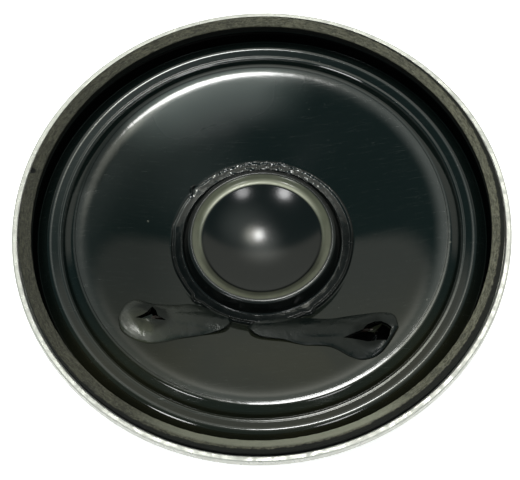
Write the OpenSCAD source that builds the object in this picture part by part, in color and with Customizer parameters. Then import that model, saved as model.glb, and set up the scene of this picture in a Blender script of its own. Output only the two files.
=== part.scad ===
// Miniature loudspeaker with a thermoformed film diaphragm, a pressed steel
// basket and a ferrite ring magnet. The back plate's rear face lies on z = 0
// and the front of the speaker looks along +Z.

/* [Magnet assembly] */
// Diameter of the back plate
back_plate_d = 30; // [26:0.5:31]
// Thickness of the back plate
back_plate_t = 2; // [1.5:0.25:3]
// Outside diameter of the ferrite ring
magnet_d = 32; // [28:0.5:34]
// Bore of the ferrite ring
magnet_bore_d = 18; // [17:0.5:20]
// Thickness of the ferrite ring
magnet_t = 6; // [4:0.5:8]
// Thickness of each film of glue between the ferrite ring and a plate
magnet_glue_t = 0.06; // [0.03:0.01:0.15]
// Bevel on the edges of the ferrite ring
magnet_bevel = 0.5; // [0.2:0.1:0.8]
// Thickness of the front plate
front_plate_t = 2; // [1.5:0.25:3]
// Bevel on the outer edges of both plates
plate_bevel = 0.3; // [0.1:0.1:0.5]
// Diameter of the pole piece
pole_d = 13.2; // [12.6:0.1:13.6]
// Height that the pole piece stands in front of the front plate
pole_proud = 0.2; // [0:0.1:0.4]
// Bevel round the front end of the pole piece
pole_bevel = 0.4; // [0.2:0.1:0.6]
// Diameter of the spigot that is pressed into the back plate
spigot_d = 8; // [6:0.5:10]

/* [Voice coil] */
// Radial clearance between the pole piece and the former
pole_clearance = 0.25; // [0.15:0.05:0.35]
// Wall of the voice coil former
former_t = 0.1; // [0.08:0.01:0.15]
// Radial thickness of the winding
winding_t = 0.3; // [0.2:0.05:0.4]
// Height of the winding
winding_h = 3; // [2.5:0.25:3.5]
// Radial clearance between the winding and the front plate
gap_clearance = 0.4; // [0.25:0.05:0.5]
// Height of former below the winding
former_tail = 0.2; // [0.1:0.05:0.4]
// Height of former above the diaphragm's neck
former_head = 0.5; // [0.3:0.1:0.7]

/* [Basket] */
// Outside diameter of the rim
rim_d = 50; // [49:0.5:54]
// Thickness of the basket sheet
sheet_t = 0.6; // [0.5:0.05:0.7]
// Gap left between the diaphragm and the floor at the end of the travel
stop_gap = 0.38; // [0.2:0.02:1]
// Height of the turned-up lip above the flange's front face
lip_h = 0.58; // [0.4:0.02:0.8]
// Rounding of the lip's edges
lip_round = 0.15; // [0.05:0.05:0.25]
// Rounding of the rim's rear corner
rim_round = 0.3; // [0.2:0.05:0.4]
// Rounding of the other bends, on their front face
bend_round = 0.6; // [0.3:0.1:0.9]
// Length of the straight upper wall
upper_wall_h = 1.4; // [1.1:0.1:1.6]
// Inward lean of the straight upper wall
upper_wall_lean = 0.25; // [0:0.05:0.4]
// Radial run of the sloping wall below it
slope_run = 2.4; // [1.6:0.1:3]
// Radial clearance between the winding and the floor's opening
floor_clearance = 1.3; // [0.8:0.1:1.6]
// Width of the floor outside the front plate
floor_w = 5.6; // [5.2:0.1:6.4]
// Number of vents in the floor
vent_count = 5; // [3:1:5]
// Angle from one vent to the next
vent_step = 45; // [42:1:45]
// Angle that each vent spans
vent_span = 28; // [20:1:32]
// Radial width of a vent
vent_w = 2.6; // [1.6:0.2:2.8]
// Distance from the front plate's edge to a vent
vent_offset = 1.8; // [1.6:0.1:2]
// Diameter of the two holes for the pigtails
wire_hole_d = 2.4; // [1.8:0.2:2.8]
// Angle of each wire hole from the terminal board
wire_hole_angle = 30; // [28:1:34]
// Thickness of the felt over the vents
felt_t = 0.4; // [0.2:0.1:0.6]
// Width of felt past the edges of a vent
felt_overlap = 0.7; // [0.5:0.1:0.9]
// Number of rivets that hold the basket to the front plate
basket_rivet_count = 4; // [3:1:6]
// Diameter of a basket rivet's shank
basket_rivet_d = 1.6; // [1.2:0.1:2]
// Diameter of a basket rivet's head
basket_rivet_head_d = 2.6; // [2.2:0.1:3]
// Height of a basket rivet's head
basket_rivet_head_h = 0.4; // [0.3:0.05:0.5]
// Depth of a basket rivet in the front plate
basket_rivet_depth = 1.4; // [1:0.1:1.4]

/* [Gasket] */
// Radial width of the gasket
gasket_w = 1.25; // [1:0.05:1.4]
// Thickness of the gasket
gasket_t = 1; // [0.6:0.1:1.4]
// Gap between the gasket and the lip
gasket_gap = 0.15; // [0.05:0.05:0.25]
// Thickness of the glue under the film's rim
rim_glue_t = 0.06; // [0.03:0.01:0.15]

/* [Diaphragm] */
// Thickness of the film
film_t = 0.12; // [0.08:0.01:0.16]
// Radial clearance between the basket's wall and the outer trough
film_clearance = 0.25; // [0.2:0.05:0.35]
// Width of film rim that shows inside the gasket
film_ledge = 0; // [0:0.05:0.2]
// Width of the outer trough
outer_trough_w = 1.6; // [1.4:0.1:1.8]
// Depth of the outer trough below the land
outer_trough_depth = 0.95; // [0.7:0.05:1.05]
// Width of the land between the troughs
land_w = 1.15; // [0.95:0.05:1.3]
// Height of the film's rim above the land
land_drop = 0.65; // [0.5:0.05:0.8]
// Fall across the land, towards the centre
land_fall = 0.18; // [0.1:0.02:0.24]
// Width of the inner trough, up to the shoulder's crest
inner_trough_w = 1.55; // [1.45:0.05:1.8]
// Depth of the inner trough below the land
inner_trough_depth = 0.3; // [0.28:0.02:0.4]
// Height of the shoulder's crest above the land
shoulder_rise = 0.5; // [0.4:0.05:0.6]
// Fall from the shoulder's crest to the neck
cone_depth = 3.1; // [2.6:0.1:3.4]
// How late the cone levels out towards the shoulder
cone_power = 5; // [4:0.5:8]
// Width of the flat neck round the cap's foot
neck_w = 1.2; // [1:0.1:1.4]
// Travel of the cone each way from rest
travel = 0.7; // [0.3:0.1:0.8]

/* [Centre cap] */
// Radial clearance between the former and the cap's crest
cap_clearance = 0.17; // [0.1:0.01:0.3]
// Radial spread of the cap's steep wall
cap_wall_spread = 0.8; // [0.5:0.1:1]
// Height of the cap's crest above the neck
cap_h = 1.55; // [1.2:0.05:1.8]
// Width of the cap's foot
cap_foot_w = 0.35; // [0.25:0.05:0.5]
// Width of the channel inside the crest
channel_w = 1.2; // [1:0.1:1.5]
// Slope of the channel at the crest, in degrees
channel_slope = 40; // [20:2:44]
// Depth of the centre dish
dish_depth = 1.1; // [0.6:0.1:1.2]

/* [Glue and leads] */
// Width of the bead of glue round the cap
bead_w = 0.75; // [0.6:0.05:0.8]
// Height of the bead of glue
bead_h = 0.35; // [0.25:0.05:0.5]
// Diameter of a lead wire
lead_d = 0.36; // [0.25:0.01:0.45]
// Diameter of a pigtail
pigtail_d = 0.5; // [0.3:0.05:0.6]
// Distance from the shoulder's crest to the left slit
left_slit_inset = 4.6; // [4.1:0.1:5.2]
// Angle of the left slit from +X
left_slit_angle = 217; // [213:1:220]
// Distance from the shoulder's crest to the right slit
right_slit_inset = 2.9; // [2.7:0.1:3.7]
// Angle of the right slit from +X
right_slit_angle = 312; // [308:1:316]
// Angle where the left lead leaves the bead
left_lead_angle = 247; // [243:1:251]
// Angle where the right lead leaves the bead
right_lead_angle = 261; // [257:1:266]
// Length of a slit
slit_l = 2.6; // [2:0.2:3]
// Width of a slit
slit_w = 1.5; // [1:0.1:1.8]
// Width of the glue where a lead leaves the bead
tail_root_w = 2.2; // [1.6:0.1:2.6]
// Width of the glue round a slit
tail_w = 5; // [4:0.1:5.4]
// Height of the glue over a lead
tail_h = 0.75; // [0.6:0.05:0.9]
// Length of glue past the left slit
left_tail_end = 3.1; // [2.6:0.1:3.3]
// Length of glue past the right slit
right_tail_end = 2; // [1.7:0.1:2.2]

/* [Terminals] */
// Width of the terminal board
board_w = 13; // [12:0.5:14]
// Depth of the terminal board
board_l = 4.4; // [4.2:0.1:4.6]
// Thickness of the terminal board
board_t = 0.8; // [0.6:0.1:1]
// Gap between the front plate's edge and the board
board_gap = 1.4; // [1:0.1:1.6]
// Distance from the centre line to a lug
lug_x = 4.4; // [4:0.1:4.6]
// Width of a lug
lug_w = 2.2; // [1.8:0.1:2.4]
// Thickness of a lug
lug_t = 0.4; // [0.3:0.05:0.5]
// Length of lug outside the board
lug_reach = 1.7; // [1.6:0.1:1.9]
// Diameter of the wire hole in a lug
lug_hole_d = 1.1; // [0.8:0.1:1.2]
// Diameter of a terminal rivet's shank
rivet_d = 1.1; // [0.9:0.1:1.3]
// Diameter of a terminal rivet's head
rivet_head_d = 1.7; // [1.5:0.1:1.8]
// Height of a terminal rivet's head
rivet_head_h = 0.3; // [0.2:0.05:0.4]
// Clearance round a terminal rivet's front head
rivet_clearance = 0.3; // [0.2:0.05:0.4]
// Clearance between a solder joint and its lug's rivet
solder_clearance = 0.1; // [0.05:0.05:0.2]
// Diameter of a solder joint
solder_d = 1.5; // [1.3:0.1:1.7]
// Height of a solder joint
solder_h = 0.6; // [0.5:0.05:0.8]

/* [Hidden] */
$fn = 96;
// Clearance between pieces that are held in one another
fit = 0.02;
// Gap that only keeps two glued faces from sharing space
hair = 0.005;
// Overshoot of a cutting shape past the face that it cuts
over = 1;
// Gap in the film where the cone meets the surround
seam = 0.04;
// Length of film that lies level on each side of the seam
seam_flat = 0.12;
// Steps round a bend, and down the cone
steps = 6;
cone_steps = 14;
// Clearance that leaves a ring of glue inside the edges that it joins
glue_inset = 0.3;
// Distance of a lug and its solder joint inside the board's inner edge
lug_inset = 0.1;
// Radial run of each trough's outer wall
outer_wall_run = 0.4;
inner_wall_run = 0.2;
// Corners of the shoulder's outer edge, as the run and the fall from its crest
shoulder_corners = [[0.2, 0], [0.55, 0.06], [1.1, 0.34]];
// Rounding of each of them
shoulder_round = [1.2, 1, 0.3];
// Radial thickness of the neck's fillet of glue
neck_glue_t = 0.25;
// Widening of a slit where it passes the glue
slit_margin = 0.1;
// Sizes of the bend outside the land, of a sharp bend, and of one that is open to the front
land_bend = 0.5;
sharp_bend = 0.15;
groove_bend = 0.06;
// Angle of the first basket rivet
basket_rivet_first = 45;
// Angle that the felt spans past each end vent
felt_margin = 3;
// Share of the channel's arc that the rounded crest leaves
channel_share = 0.9;
// Share of the cap's foot that the bead leaves bare
foot_bare = 0.6;
// Rounding of the corner between the flange and the lip
lip_bend = 0.1;
// Rounding of the floor's outer corner on the rear face, against the front one
floor_bend_share = 1.6;
// Heights of the neck's fillet of glue, as shares of the former's head
fillet_knee = 0.6;
fillet_top = 0.8;
// Distance of a lead's start from the bead, in wire diameters
lead_start = 0.8;
// Share of a lead that lies on the cone before it turns down through its slit
lead_flat_share = 0.96;
// Height of the turn over the slit's edge, in wire diameters
lead_turn = 0.3;
// Handles of a pigtail's curve, below the slit, above and below the floor,
// and beside and below the lug
slit_handle = 0.9;
floor_handle_up = 1.6;
floor_handle_down = 1.9;
lug_handle = 2.4;
lug_dip = 0.25;

// Heights, from the rear to the front
magnet_z = back_plate_t + magnet_glue_t;
front_plate_z = magnet_z + magnet_t + magnet_glue_t;
floor_z = front_plate_z + front_plate_t;
floor_front_z = floor_z + sheet_t;
neck_z = floor_front_z + stop_gap + travel + film_t;
shoulder_z = neck_z + cone_depth;
land_z = shoulder_z - shoulder_rise;
film_rim_z = land_z + land_drop;
flange_front_z = film_rim_z - film_t - rim_glue_t;
flange_z = flange_front_z - sheet_t;
lip_z = flange_front_z + lip_h;
gasket_z = film_rim_z;
cap_foot_z = neck_z + film_t;
cap_crest_z = neck_z + cap_h;
channel_r = channel_w / sin(channel_slope);
dish_edge_z = cap_crest_z - channel_r * (1 - cos(channel_slope));
pole_z = floor_z + pole_proud;
winding_z = front_plate_z + (front_plate_t - winding_h) / 2;

// Radii of the magnet assembly and the voice coil, from the centre out
pole_r = pole_d / 2;
former_in_r = pole_r + pole_clearance;
former_r = former_in_r + former_t;
winding_r = former_r + winding_t;
gap_r = winding_r + gap_clearance;
floor_in_r = winding_r + floor_clearance;

// Radii of the basket and the gasket, from the rim in
rim_r = rim_d / 2;
lip_in_r = rim_r - sheet_t;
gasket_r = lip_in_r - gasket_gap;
gasket_in_r = gasket_r - gasket_w;
film_edge_r = gasket_in_r - film_ledge;
flange_in_r = film_edge_r + film_clearance;
slope_top_r = flange_in_r - upper_wall_lean;
slope_top_z = flange_z - upper_wall_h;
floor_r = slope_top_r - slope_run;
front_plate_r = floor_r - floor_w;
basket_rivet_r = (floor_in_r + front_plate_r) / 2;

// Radii of the diaphragm
land_r = film_edge_r - outer_trough_w;
land_in_r = land_r - land_w;
shoulder_r = land_in_r - inner_trough_w;
cap_crest_r = former_r + cap_clearance + film_t;
cap_wall_r = cap_crest_r + cap_wall_spread;
cap_foot_r = cap_wall_r + cap_foot_w;
bead_in_r = cap_wall_r + cap_foot_w * foot_bare;
bead_r = cap_foot_r + bead_w;
neck_r = cap_wall_r + neck_w;
dish_r = cap_crest_r - channel_w;
neck_in_r = former_r + fit;

// Vents and wire holes
vent_in_r = front_plate_r + vent_offset;
vent_out_r = vent_in_r + vent_w;
vent_first = 90 - vent_step * (vent_count - 1) / 2;
vent_last = vent_first + vent_step * (vent_count - 1);
wire_hole_r = (vent_in_r + vent_out_r) / 2;

// Terminal board, with its inner edge towards the magnet
board_y = -(front_plate_r + board_gap);
board_z = floor_z - board_t;
lug_z = board_z - lug_t;
lug_in_y = board_y - lug_inset;
solder_y = lug_in_y - solder_d / 2 - lug_inset;
rivet_y = solder_y - solder_d / 2 - solder_clearance - rivet_head_d / 2;
lug_end_y = board_y - board_l - lug_reach;
lug_hole_y = lug_end_y + lug_w / 2;

// Height of the film's front face over the cone, by distance from the centre
function cone_z(r) =
  let(t = min(1, max(0, (r - neck_r) / (shoulder_r - neck_r))))
  neck_z + (shoulder_z - neck_z) * (cone_power * t - pow(t, cone_power)) / (cone_power - 1);

// Points of an arc that rounds the corner b between a and c
function unit(v) = v / norm(v);
function rounded(a, b, c, r) =
  let(
    u = unit(a - b),
    v = unit(c - b),
    half = acos(max(-1, min(1, u * v))) / 2,
    back = min(r / tan(half), norm(a - b) * 0.48, norm(c - b) * 0.48),
    radius = back * tan(half),
    middle = b + unit(u + v) * (radius / sin(half)),
    from = b + u * back - middle,
    to = b + v * back - middle
  )
  [for (i = [0:steps]) let(t = i / steps, w = from * (1 - t) + to * t) middle + unit(w) * radius];

// A path with its inner corners rounded, from points [r, z, rounding]
function smooth(p) = concat(
  [[p[0][0], p[0][1]]],
  [for (i = [1:len(p) - 2]) each rounded(
    [p[i - 1][0], p[i - 1][1]], [p[i][0], p[i][1]], [p[i + 1][0], p[i + 1][1]], p[i][2])],
  [[p[len(p) - 1][0], p[len(p) - 1][1]]]);

// The same path moved sideways, square to its own direction
function side(p, i) = unit([-(p[i + 1] - p[i])[1], (p[i + 1] - p[i])[0]]);
function beside(p, d) = [for (i = [0:len(p) - 1])
  let(
    a = side(p, max(0, i - 1)),
    b = side(p, min(len(p) - 2, i)),
    m = unit(a + b)
  )
  p[i] + m * d / (m * a)];

// A closed outline with its corners rounded, from points [r, z, rounding]
function smooth_outline(p) = [for (i = [0:len(p) - 1])
  let(
    a = p[(i + len(p) - 1) % len(p)],
    b = p[i],
    c = p[(i + 1) % len(p)]
  )
  each b[2] > 0 ? rounded([a[0], a[1]], [b[0], b[1]], [c[0], c[1]], b[2]) : [[b[0], b[1]]]];

// A sheet of revolution whose front face follows a path that runs inwards
module sheet(path, thickness) {
  rear = beside(path, thickness);
  rotate_extrude()
    polygon(concat(path, [for (i = [len(rear) - 1:-1:0]) rear[i]]));
}

module ring(outer, inner, height) {
  difference() {
    cylinder(r = outer, h = height);
    translate([0, 0, -over])
      cylinder(r = inner, h = height + 2 * over);
  }
}

// A ring whose outer edges are beveled
module beveled_ring(outer, inner, height, bevel) {
  rotate_extrude()
    polygon([
      [inner, 0], [outer - bevel, 0], [outer, bevel],
      [outer, height - bevel], [outer - bevel, height], [inner, height]]);
}

// A slot that follows a circle, centred on the given angle
module curved_slot(inner, outer, angle, span, height) {
  rotate([0, 0, angle - span / 2])
    rotate_extrude(angle = span)
      translate([inner, 0])
        square([outer - inner, height]);
}

// Points on a cubic curve
function curve(a, b, c, d, t) =
  a * pow(1 - t, 3) + 3 * b * t * pow(1 - t, 2) + 3 * c * t * t * (1 - t) + d * pow(t, 3);

// A round wire along a path of points
wire_sides = 8;
function cross_frame(path, i) =
  let(
    ahead = unit(path[min(i + 1, len(path) - 1)] - path[max(i - 1, 0)]),
    first = unit(cross(ahead, [0.31, 0.17, 1]))
  )
  [first, cross(ahead, first)];

module wire(path, diameter) {
  n = len(path);
  points = [for (i = [0:n - 1]) for (k = [0:wire_sides - 1])
    let(f = cross_frame(path, i), a = 360 * k / wire_sides)
    path[i] + (f[0] * cos(a) + f[1] * sin(a)) * diameter / 2];
  walls = [for (i = [0:n - 2]) for (k = [0:wire_sides - 1])
    let(k2 = (k + 1) % wire_sides, a = i * wire_sides, b = a + wire_sides)
    each [[a + k, b + k, b + k2], [a + k, b + k2, a + k2]]];
  near_end = [for (k = [0:wire_sides - 1]) k];
  far_end = [for (k = [wire_sides - 1:-1:0]) (n - 1) * wire_sides + k];
  polyhedron(points, concat(walls, [near_end], [far_end]));
}

// Places of the slits, the lead wires and the pigtails, for side -1 or 1
function slit_r(s) = shoulder_r - (s < 0 ? left_slit_inset : right_slit_inset);
function slit_angle(s) = s < 0 ? left_slit_angle : right_slit_angle;
function polar(r, angle) = [r * cos(angle), r * sin(angle)];
function slit_xy(s) = polar(slit_r(s), slit_angle(s));
function lead_angle(s) = s < 0 ? left_lead_angle : right_lead_angle;
function lead_start_xy(s) = polar(bead_r + lead_d * lead_start, lead_angle(s));
function on_cone(p, lift) = [p[0], p[1], cone_z(norm(p)) + lift];
lead_steps = 10;
wire_steps = 14;

// The lead runs on the cone's front face and turns down through its slit
function lead_path(s) =
  let(
    a = lead_start_xy(s),
    b = slit_xy(s),
    lift = lead_d / 2 + fit,
    surface = [for (i = [0:lead_steps]) on_cone(a + (b - a) * (lead_flat_share * i / lead_steps), lift)],
    foot = on_cone(b, 0)
  )
  concat(surface, [foot + [0, 0, lead_d * lead_turn], foot - [0, 0, film_t + lead_d]]);

function wire_hole_xy(s) = polar(wire_hole_r, 270 + s * wire_hole_angle);
function solder_xy(s) = [s * lug_x, solder_y];

// The pigtail hangs below the cone, passes the floor and ends on its lug
function pigtail_path(s) =
  let(
    top = on_cone(slit_xy(s), -(film_t + lead_d + seam)),
    h = wire_hole_xy(s),
    hole = [h[0], h[1], floor_z + sheet_t / 2],
    q = solder_xy(s),
    last = [q[0], q[1], lug_z - pigtail_d / 2 - fit],
    outward = [s, 0, 0],
    down = [0, 0, 1],
    upper = [for (i = [0:wire_steps])
      curve(top, top - down * slit_handle, hole + down * floor_handle_up, hole, i / wire_steps)],
    lower = [for (i = [1:wire_steps])
      curve(hole, hole - down * floor_handle_down, last + outward * lug_handle - down * lug_dip,
        last, i / wire_steps)]
  )
  concat(upper, lower);

module back_plate() {
  color("silver")
    beveled_ring(back_plate_d / 2, spigot_d / 2 + fit, back_plate_t, plate_bevel);
}

module pole_piece() {
  color("silver")
    rotate_extrude()
      polygon([
        [0, 0], [spigot_d / 2, 0], [spigot_d / 2, back_plate_t], [pole_r, back_plate_t],
        [pole_r, pole_z - pole_bevel], [pole_r - pole_bevel, pole_z], [0, pole_z]]);
}

module magnet_ring() {
  color("dimgray")
    translate([0, 0, magnet_z])
      beveled_ring(magnet_d / 2, magnet_bore_d / 2, magnet_t, magnet_bevel);
}

// The glue stops short of the edges of the plate that it holds
module magnet_glue(z, plate_r) {
  color("darkkhaki")
    translate([0, 0, z])
      ring(plate_r - plate_bevel - glue_inset, magnet_bore_d / 2 + glue_inset, magnet_glue_t);
}

module magnet_glue_rear() {
  magnet_glue(back_plate_t, back_plate_d / 2);
}

module magnet_glue_front() {
  magnet_glue(magnet_z + magnet_t, front_plate_r);
}

module basket_rivet_places() {
  for (i = [0:basket_rivet_count - 1])
    rotate([0, 0, basket_rivet_first + i * 360 / basket_rivet_count])
      translate([basket_rivet_r, 0, 0])
        children();
}

module front_plate() {
  color("silver")
    difference() {
      translate([0, 0, front_plate_z])
        beveled_ring(front_plate_r, gap_r, front_plate_t, plate_bevel);
      basket_rivet_places()
        translate([0, 0, floor_z - basket_rivet_depth - fit])
          cylinder(d = basket_rivet_d + 2 * fit, h = basket_rivet_depth + over);
    }
}

module basket_rivets() {
  color("lightgray")
    basket_rivet_places() {
      translate([0, 0, floor_z - basket_rivet_depth])
        cylinder(d = basket_rivet_d, h = basket_rivet_depth + sheet_t);
      translate([0, 0, floor_front_z])
        rotate_extrude()
          polygon([
            [0, 0], [basket_rivet_head_d / 2, 0],
            [basket_rivet_head_d / 2, basket_rivet_head_h / 2],
            [basket_rivet_head_d / 2 - basket_rivet_head_h / 2, basket_rivet_head_h],
            [0, basket_rivet_head_h]]);
    }
}

// The front face of the pressed sheet, as sharp corners from the lip to the floor
basket_corners = [
  [lip_in_r, lip_z], [lip_in_r, flange_front_z], [flange_in_r, flange_front_z],
  [slope_top_r, slope_top_z + sheet_t], [floor_r, floor_front_z], [floor_in_r, floor_front_z]];
basket_rear = beside(basket_corners, sheet_t);
// Rounding of each corner, on the front face and on the rear face
front_round = [lip_round, lip_bend, bend_round, bend_round, bend_round, 0];
rear_round = [lip_round, rim_round, bend_round / 2, bend_round,
  bend_round * floor_bend_share, 0];
basket_outline = concat(
  [for (i = [0:len(basket_corners) - 1])
    [basket_corners[i][0], basket_corners[i][1], front_round[i]]],
  [for (i = [len(basket_rear) - 1:-1:0]) [basket_rear[i][0], basket_rear[i][1], rear_round[i]]]);

module basket_shell() {
  difference() {
    rotate_extrude()
      polygon(smooth_outline(basket_outline));
    basket_openings();
  }
}

module basket_openings() {
  for (i = [0:vent_count - 1])
    translate([0, 0, floor_z - over])
      curved_slot(vent_in_r, vent_out_r, vent_first + i * vent_step, vent_span,
        sheet_t + 2 * over);
  for (s = [-1, 1])
    translate([wire_hole_xy(s)[0], wire_hole_xy(s)[1], floor_z - over])
      cylinder(d = wire_hole_d, h = sheet_t + 2 * over);
  basket_rivet_places()
    translate([0, 0, floor_z - over])
      cylinder(d = basket_rivet_d + 2 * fit, h = sheet_t + 2 * over);
  translate([0, rivet_y, floor_z - over])
    cylinder(d = rivet_d + 2 * fit, h = sheet_t + 2 * over);
  for (s = [-1, 1])
    translate([s * lug_x, rivet_y, floor_z - over])
      cylinder(d = rivet_head_d + 2 * rivet_clearance, h = sheet_t + 2 * over);
}

module basket() {
  color("gainsboro")
    basket_shell();
}

// A strip of felt glued over the row of vents
module vent_felt() {
  color("black")
    translate([0, 0, floor_front_z])
      curved_slot(vent_in_r - felt_overlap, vent_out_r + felt_overlap / 2,
        (vent_first + vent_last) / 2,
        vent_last - vent_first + vent_span + 2 * felt_margin, felt_t);
}

module rim_glue() {
  color("darkkhaki")
    translate([0, 0, flange_front_z])
      ring(gasket_r - sharp_bend, flange_in_r + bend_round / 2, rim_glue_t);
}

// The film from its rim to the shoulder, drawn along its front face
surround_front = smooth(concat([
  [gasket_r, film_rim_z, 0],
  [film_edge_r, film_rim_z, sharp_bend],
  [film_edge_r - outer_wall_run, land_z - outer_trough_depth, groove_bend],
  [land_r, land_z, land_bend],
  [land_in_r, land_z - land_fall, sharp_bend],
  [land_in_r - inner_wall_run, land_z - inner_trough_depth, groove_bend]],
  [for (i = [len(shoulder_corners) - 1:-1:0])
    [shoulder_r + shoulder_corners[i][0], shoulder_z - shoulder_corners[i][1], shoulder_round[i]]],
  [[shoulder_r + seam / 2, shoulder_z, 0]]));

module diaphragm_surround() {
  color("black")
    sheet(surround_front, film_t);
}

module gasket_ring() {
  color("dimgray")
    translate([0, 0, gasket_z])
      ring(gasket_r, gasket_in_r, gasket_t);
}

// The film from the shoulder to the neck, which fits round the former
cone_front = concat(
  [[shoulder_r - seam / 2, shoulder_z], [shoulder_r - seam_flat, shoulder_z]],
  [for (i = [1:cone_steps])
    let(r = shoulder_r - (shoulder_r - neck_r) * i / cone_steps) [r, cone_z(r)]],
  [[neck_in_r, neck_z]]);

// The slit is a triangle whose long side follows the lead
module slit(s, grow) {
  along = slit_xy(s) - lead_start_xy(s);
  long = slit_l + 4 * grow;
  wide = slit_w + 2.5 * grow;
  translate([slit_xy(s)[0], slit_xy(s)[1], neck_z - over])
    rotate([0, 0, atan2(along[1] * s, along[0] * s)])
      linear_extrude(cone_depth + 2 * over)
        polygon([[-long / 2, -wide / 2], [long / 2, -wide / 2], [0, wide / 2]]);
}

module diaphragm_cone() {
  color("darkslategray")
    difference() {
      sheet(cone_front, film_t);
      slit(-1, 0);
      slit(1, 0);
    }
}

// The cap, drawn along its front face from the foot to the centre
dish_sphere_r = (dish_r * dish_r + dish_depth * dish_depth) / (2 * dish_depth);
channel_end = channel_slope * channel_share;
function channel_point(a) = [dish_r + channel_r * sin(a), dish_edge_z + channel_r * (1 - cos(a))];
cap_front = concat(
  smooth([
    [cap_foot_r, cap_foot_z, 0], [cap_wall_r, cap_foot_z, sharp_bend],
    [cap_crest_r, cap_crest_z, sharp_bend / 2], concat(channel_point(channel_end), 0)]),
  [for (i = [1:steps]) channel_point(channel_end * (1 - i / steps))],
  [for (i = [1:steps + 2])
    let(r = dish_r * (1 - i / (steps + 2)))
    [r, dish_edge_z - dish_depth + dish_sphere_r - sqrt(pow(dish_sphere_r, 2) - r * r)]]);

module centre_cap() {
  color("darkslategray")
    sheet(cap_front, film_t);
}

module voice_coil_former() {
  color("peru")
    translate([0, 0, winding_z - former_tail])
      ring(former_r, former_in_r, neck_z + former_head - winding_z + former_tail);
}

module voice_coil_winding() {
  color("chocolate")
    translate([0, 0, winding_z])
      ring(winding_r, former_r + hair, winding_h);
}

// A fillet of glue that holds the former in the neck, hidden under the cap
module neck_glue() {
  color("black")
    translate([0, 0, neck_z])
      rotate_extrude()
        polygon([
          [former_r + hair, 0], [former_r + neck_glue_t, 0],
          [former_r + neck_glue_t / 2, former_head * fillet_knee],
          [former_r + hair, former_head * fillet_top]]);
}

// The black bead that covers the cap's foot
module cap_glue_bead() {
  color("black")
    rotate_extrude()
      polygon(concat(
        [[cap_foot_r + fit, neck_z], [cap_foot_r + fit, cap_foot_z + fit]],
        [for (i = [0:steps])
          let(a = 180 - 180 * i / steps, middle = (bead_in_r + bead_r) / 2)
          [middle + cos(a) * (bead_r - bead_in_r) / 2,
            (cos(a) < 0 ? neck_z + (film_t + fit) * -cos(a) : neck_z) + sin(a) * bead_h]]));
}

// A low mound of glue on the cone's front face, from a narrow root to a round end
mound_stations = 16;
mound_points = 8;
root_share = 0.1;
end_share = 0.3;
// Narrowest width of the mound, as a share, squared, and how fast it widens
least_taper = 0.04;
widening = 1.3;
// Thickness of the mound at its edge
mound_edge = 0.03;
function mound_taper(t) =
  t < root_share ? sqrt(max(least_taper, 1 - pow(1 - t / root_share, 2)))
  : t > 1 - end_share ? sqrt(max(least_taper, 1 - pow((t - 1 + end_share) / end_share, 2)))
  : 1;

// Points across the mound at each station, raised by a share of its height
function mound_layer(a, b, raise) =
  let(along = unit(b - a), across = [-along[1], along[0]])
  [for (i = [0:mound_stations]) for (k = [0:mound_points])
    let(
      t = i / mound_stations,
      u = 1 - 2 * k / mound_points,
      full_w = tail_root_w + (tail_w - tail_root_w) * min(1, t * widening),
      half_w = full_w / 2 * mound_taper(t),
      high = mound_edge + tail_h * mound_taper(t) * sqrt(max(0, 1 - u * u))
    )
    on_cone(a + (b - a) * t + across * half_w * u, fit + raise * high)];

module mound(a, b) {
  row = mound_points + 1;
  shift = row * (mound_stations + 1);
  last = mound_stations * row;
  top_faces = [for (i = [0:mound_stations - 1]) for (k = [0:mound_points - 1])
    let(p = shift + i * row + k, q = p + row)
    each [[p, p + 1, q + 1], [p, q + 1, q]]];
  low_faces = [for (i = [0:mound_stations - 1]) for (k = [0:mound_points - 1])
    let(p = i * row + k, q = p + row)
    each [[p, q + 1, p + 1], [p, q, q + 1]]];
  sides = [for (i = [0:mound_stations - 1])
    let(l = i * row, u = shift + l, l2 = l + mound_points, u2 = shift + l2)
    each [[l, u, u + row], [l, u + row, l + row],
      [l2, u2 + row, u2], [l2, l2 + row, u2 + row]]];
  ends = [for (k = [0:mound_points - 1])
    each [[k, k + 1, shift + k + 1], [k, shift + k + 1, shift + k],
      [last + k, shift + last + k + 1, last + k + 1],
      [last + k, shift + last + k, shift + last + k + 1]]];
  polyhedron(concat(mound_layer(a, b, 0), mound_layer(a, b, 1)),
    concat(top_faces, low_faces, sides, ends));
}

module lead_glue(s) {
  a = polar(bead_r - fit, lead_angle(s));
  b = slit_xy(s);
  past = s < 0 ? left_tail_end : right_tail_end;
  color("black")
    difference() {
      mound(a, b + unit(b - a) * past);
      slit(s, slit_margin);
      translate([0, 0, neck_z - over])
        cylinder(r = bead_r + fit, h = cone_depth + 2 * over);
    }
}

module lead_glue_left() {
  lead_glue(-1);
}

module lead_glue_right() {
  lead_glue(1);
}

module lead_wire_left() {
  color("sienna")
    wire(lead_path(-1), lead_d);
}

module lead_wire_right() {
  color("sienna")
    wire(lead_path(1), lead_d);
}

module pigtail_left() {
  color("peru")
    wire(pigtail_path(-1), pigtail_d);
}

module pigtail_right() {
  color("peru")
    wire(pigtail_path(1), pigtail_d);
}

module rivet_holes() {
  for (x = [-lug_x, 0, lug_x])
    translate([x, rivet_y, board_z - over])
      cylinder(d = rivet_d + 2 * fit, h = board_t + 2 * over);
}

module terminal_board() {
  color("saddlebrown")
    difference() {
      translate([-board_w / 2, board_y - board_l, board_z])
        cube([board_w, board_l, board_t]);
      rivet_holes();
    }
}

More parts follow.
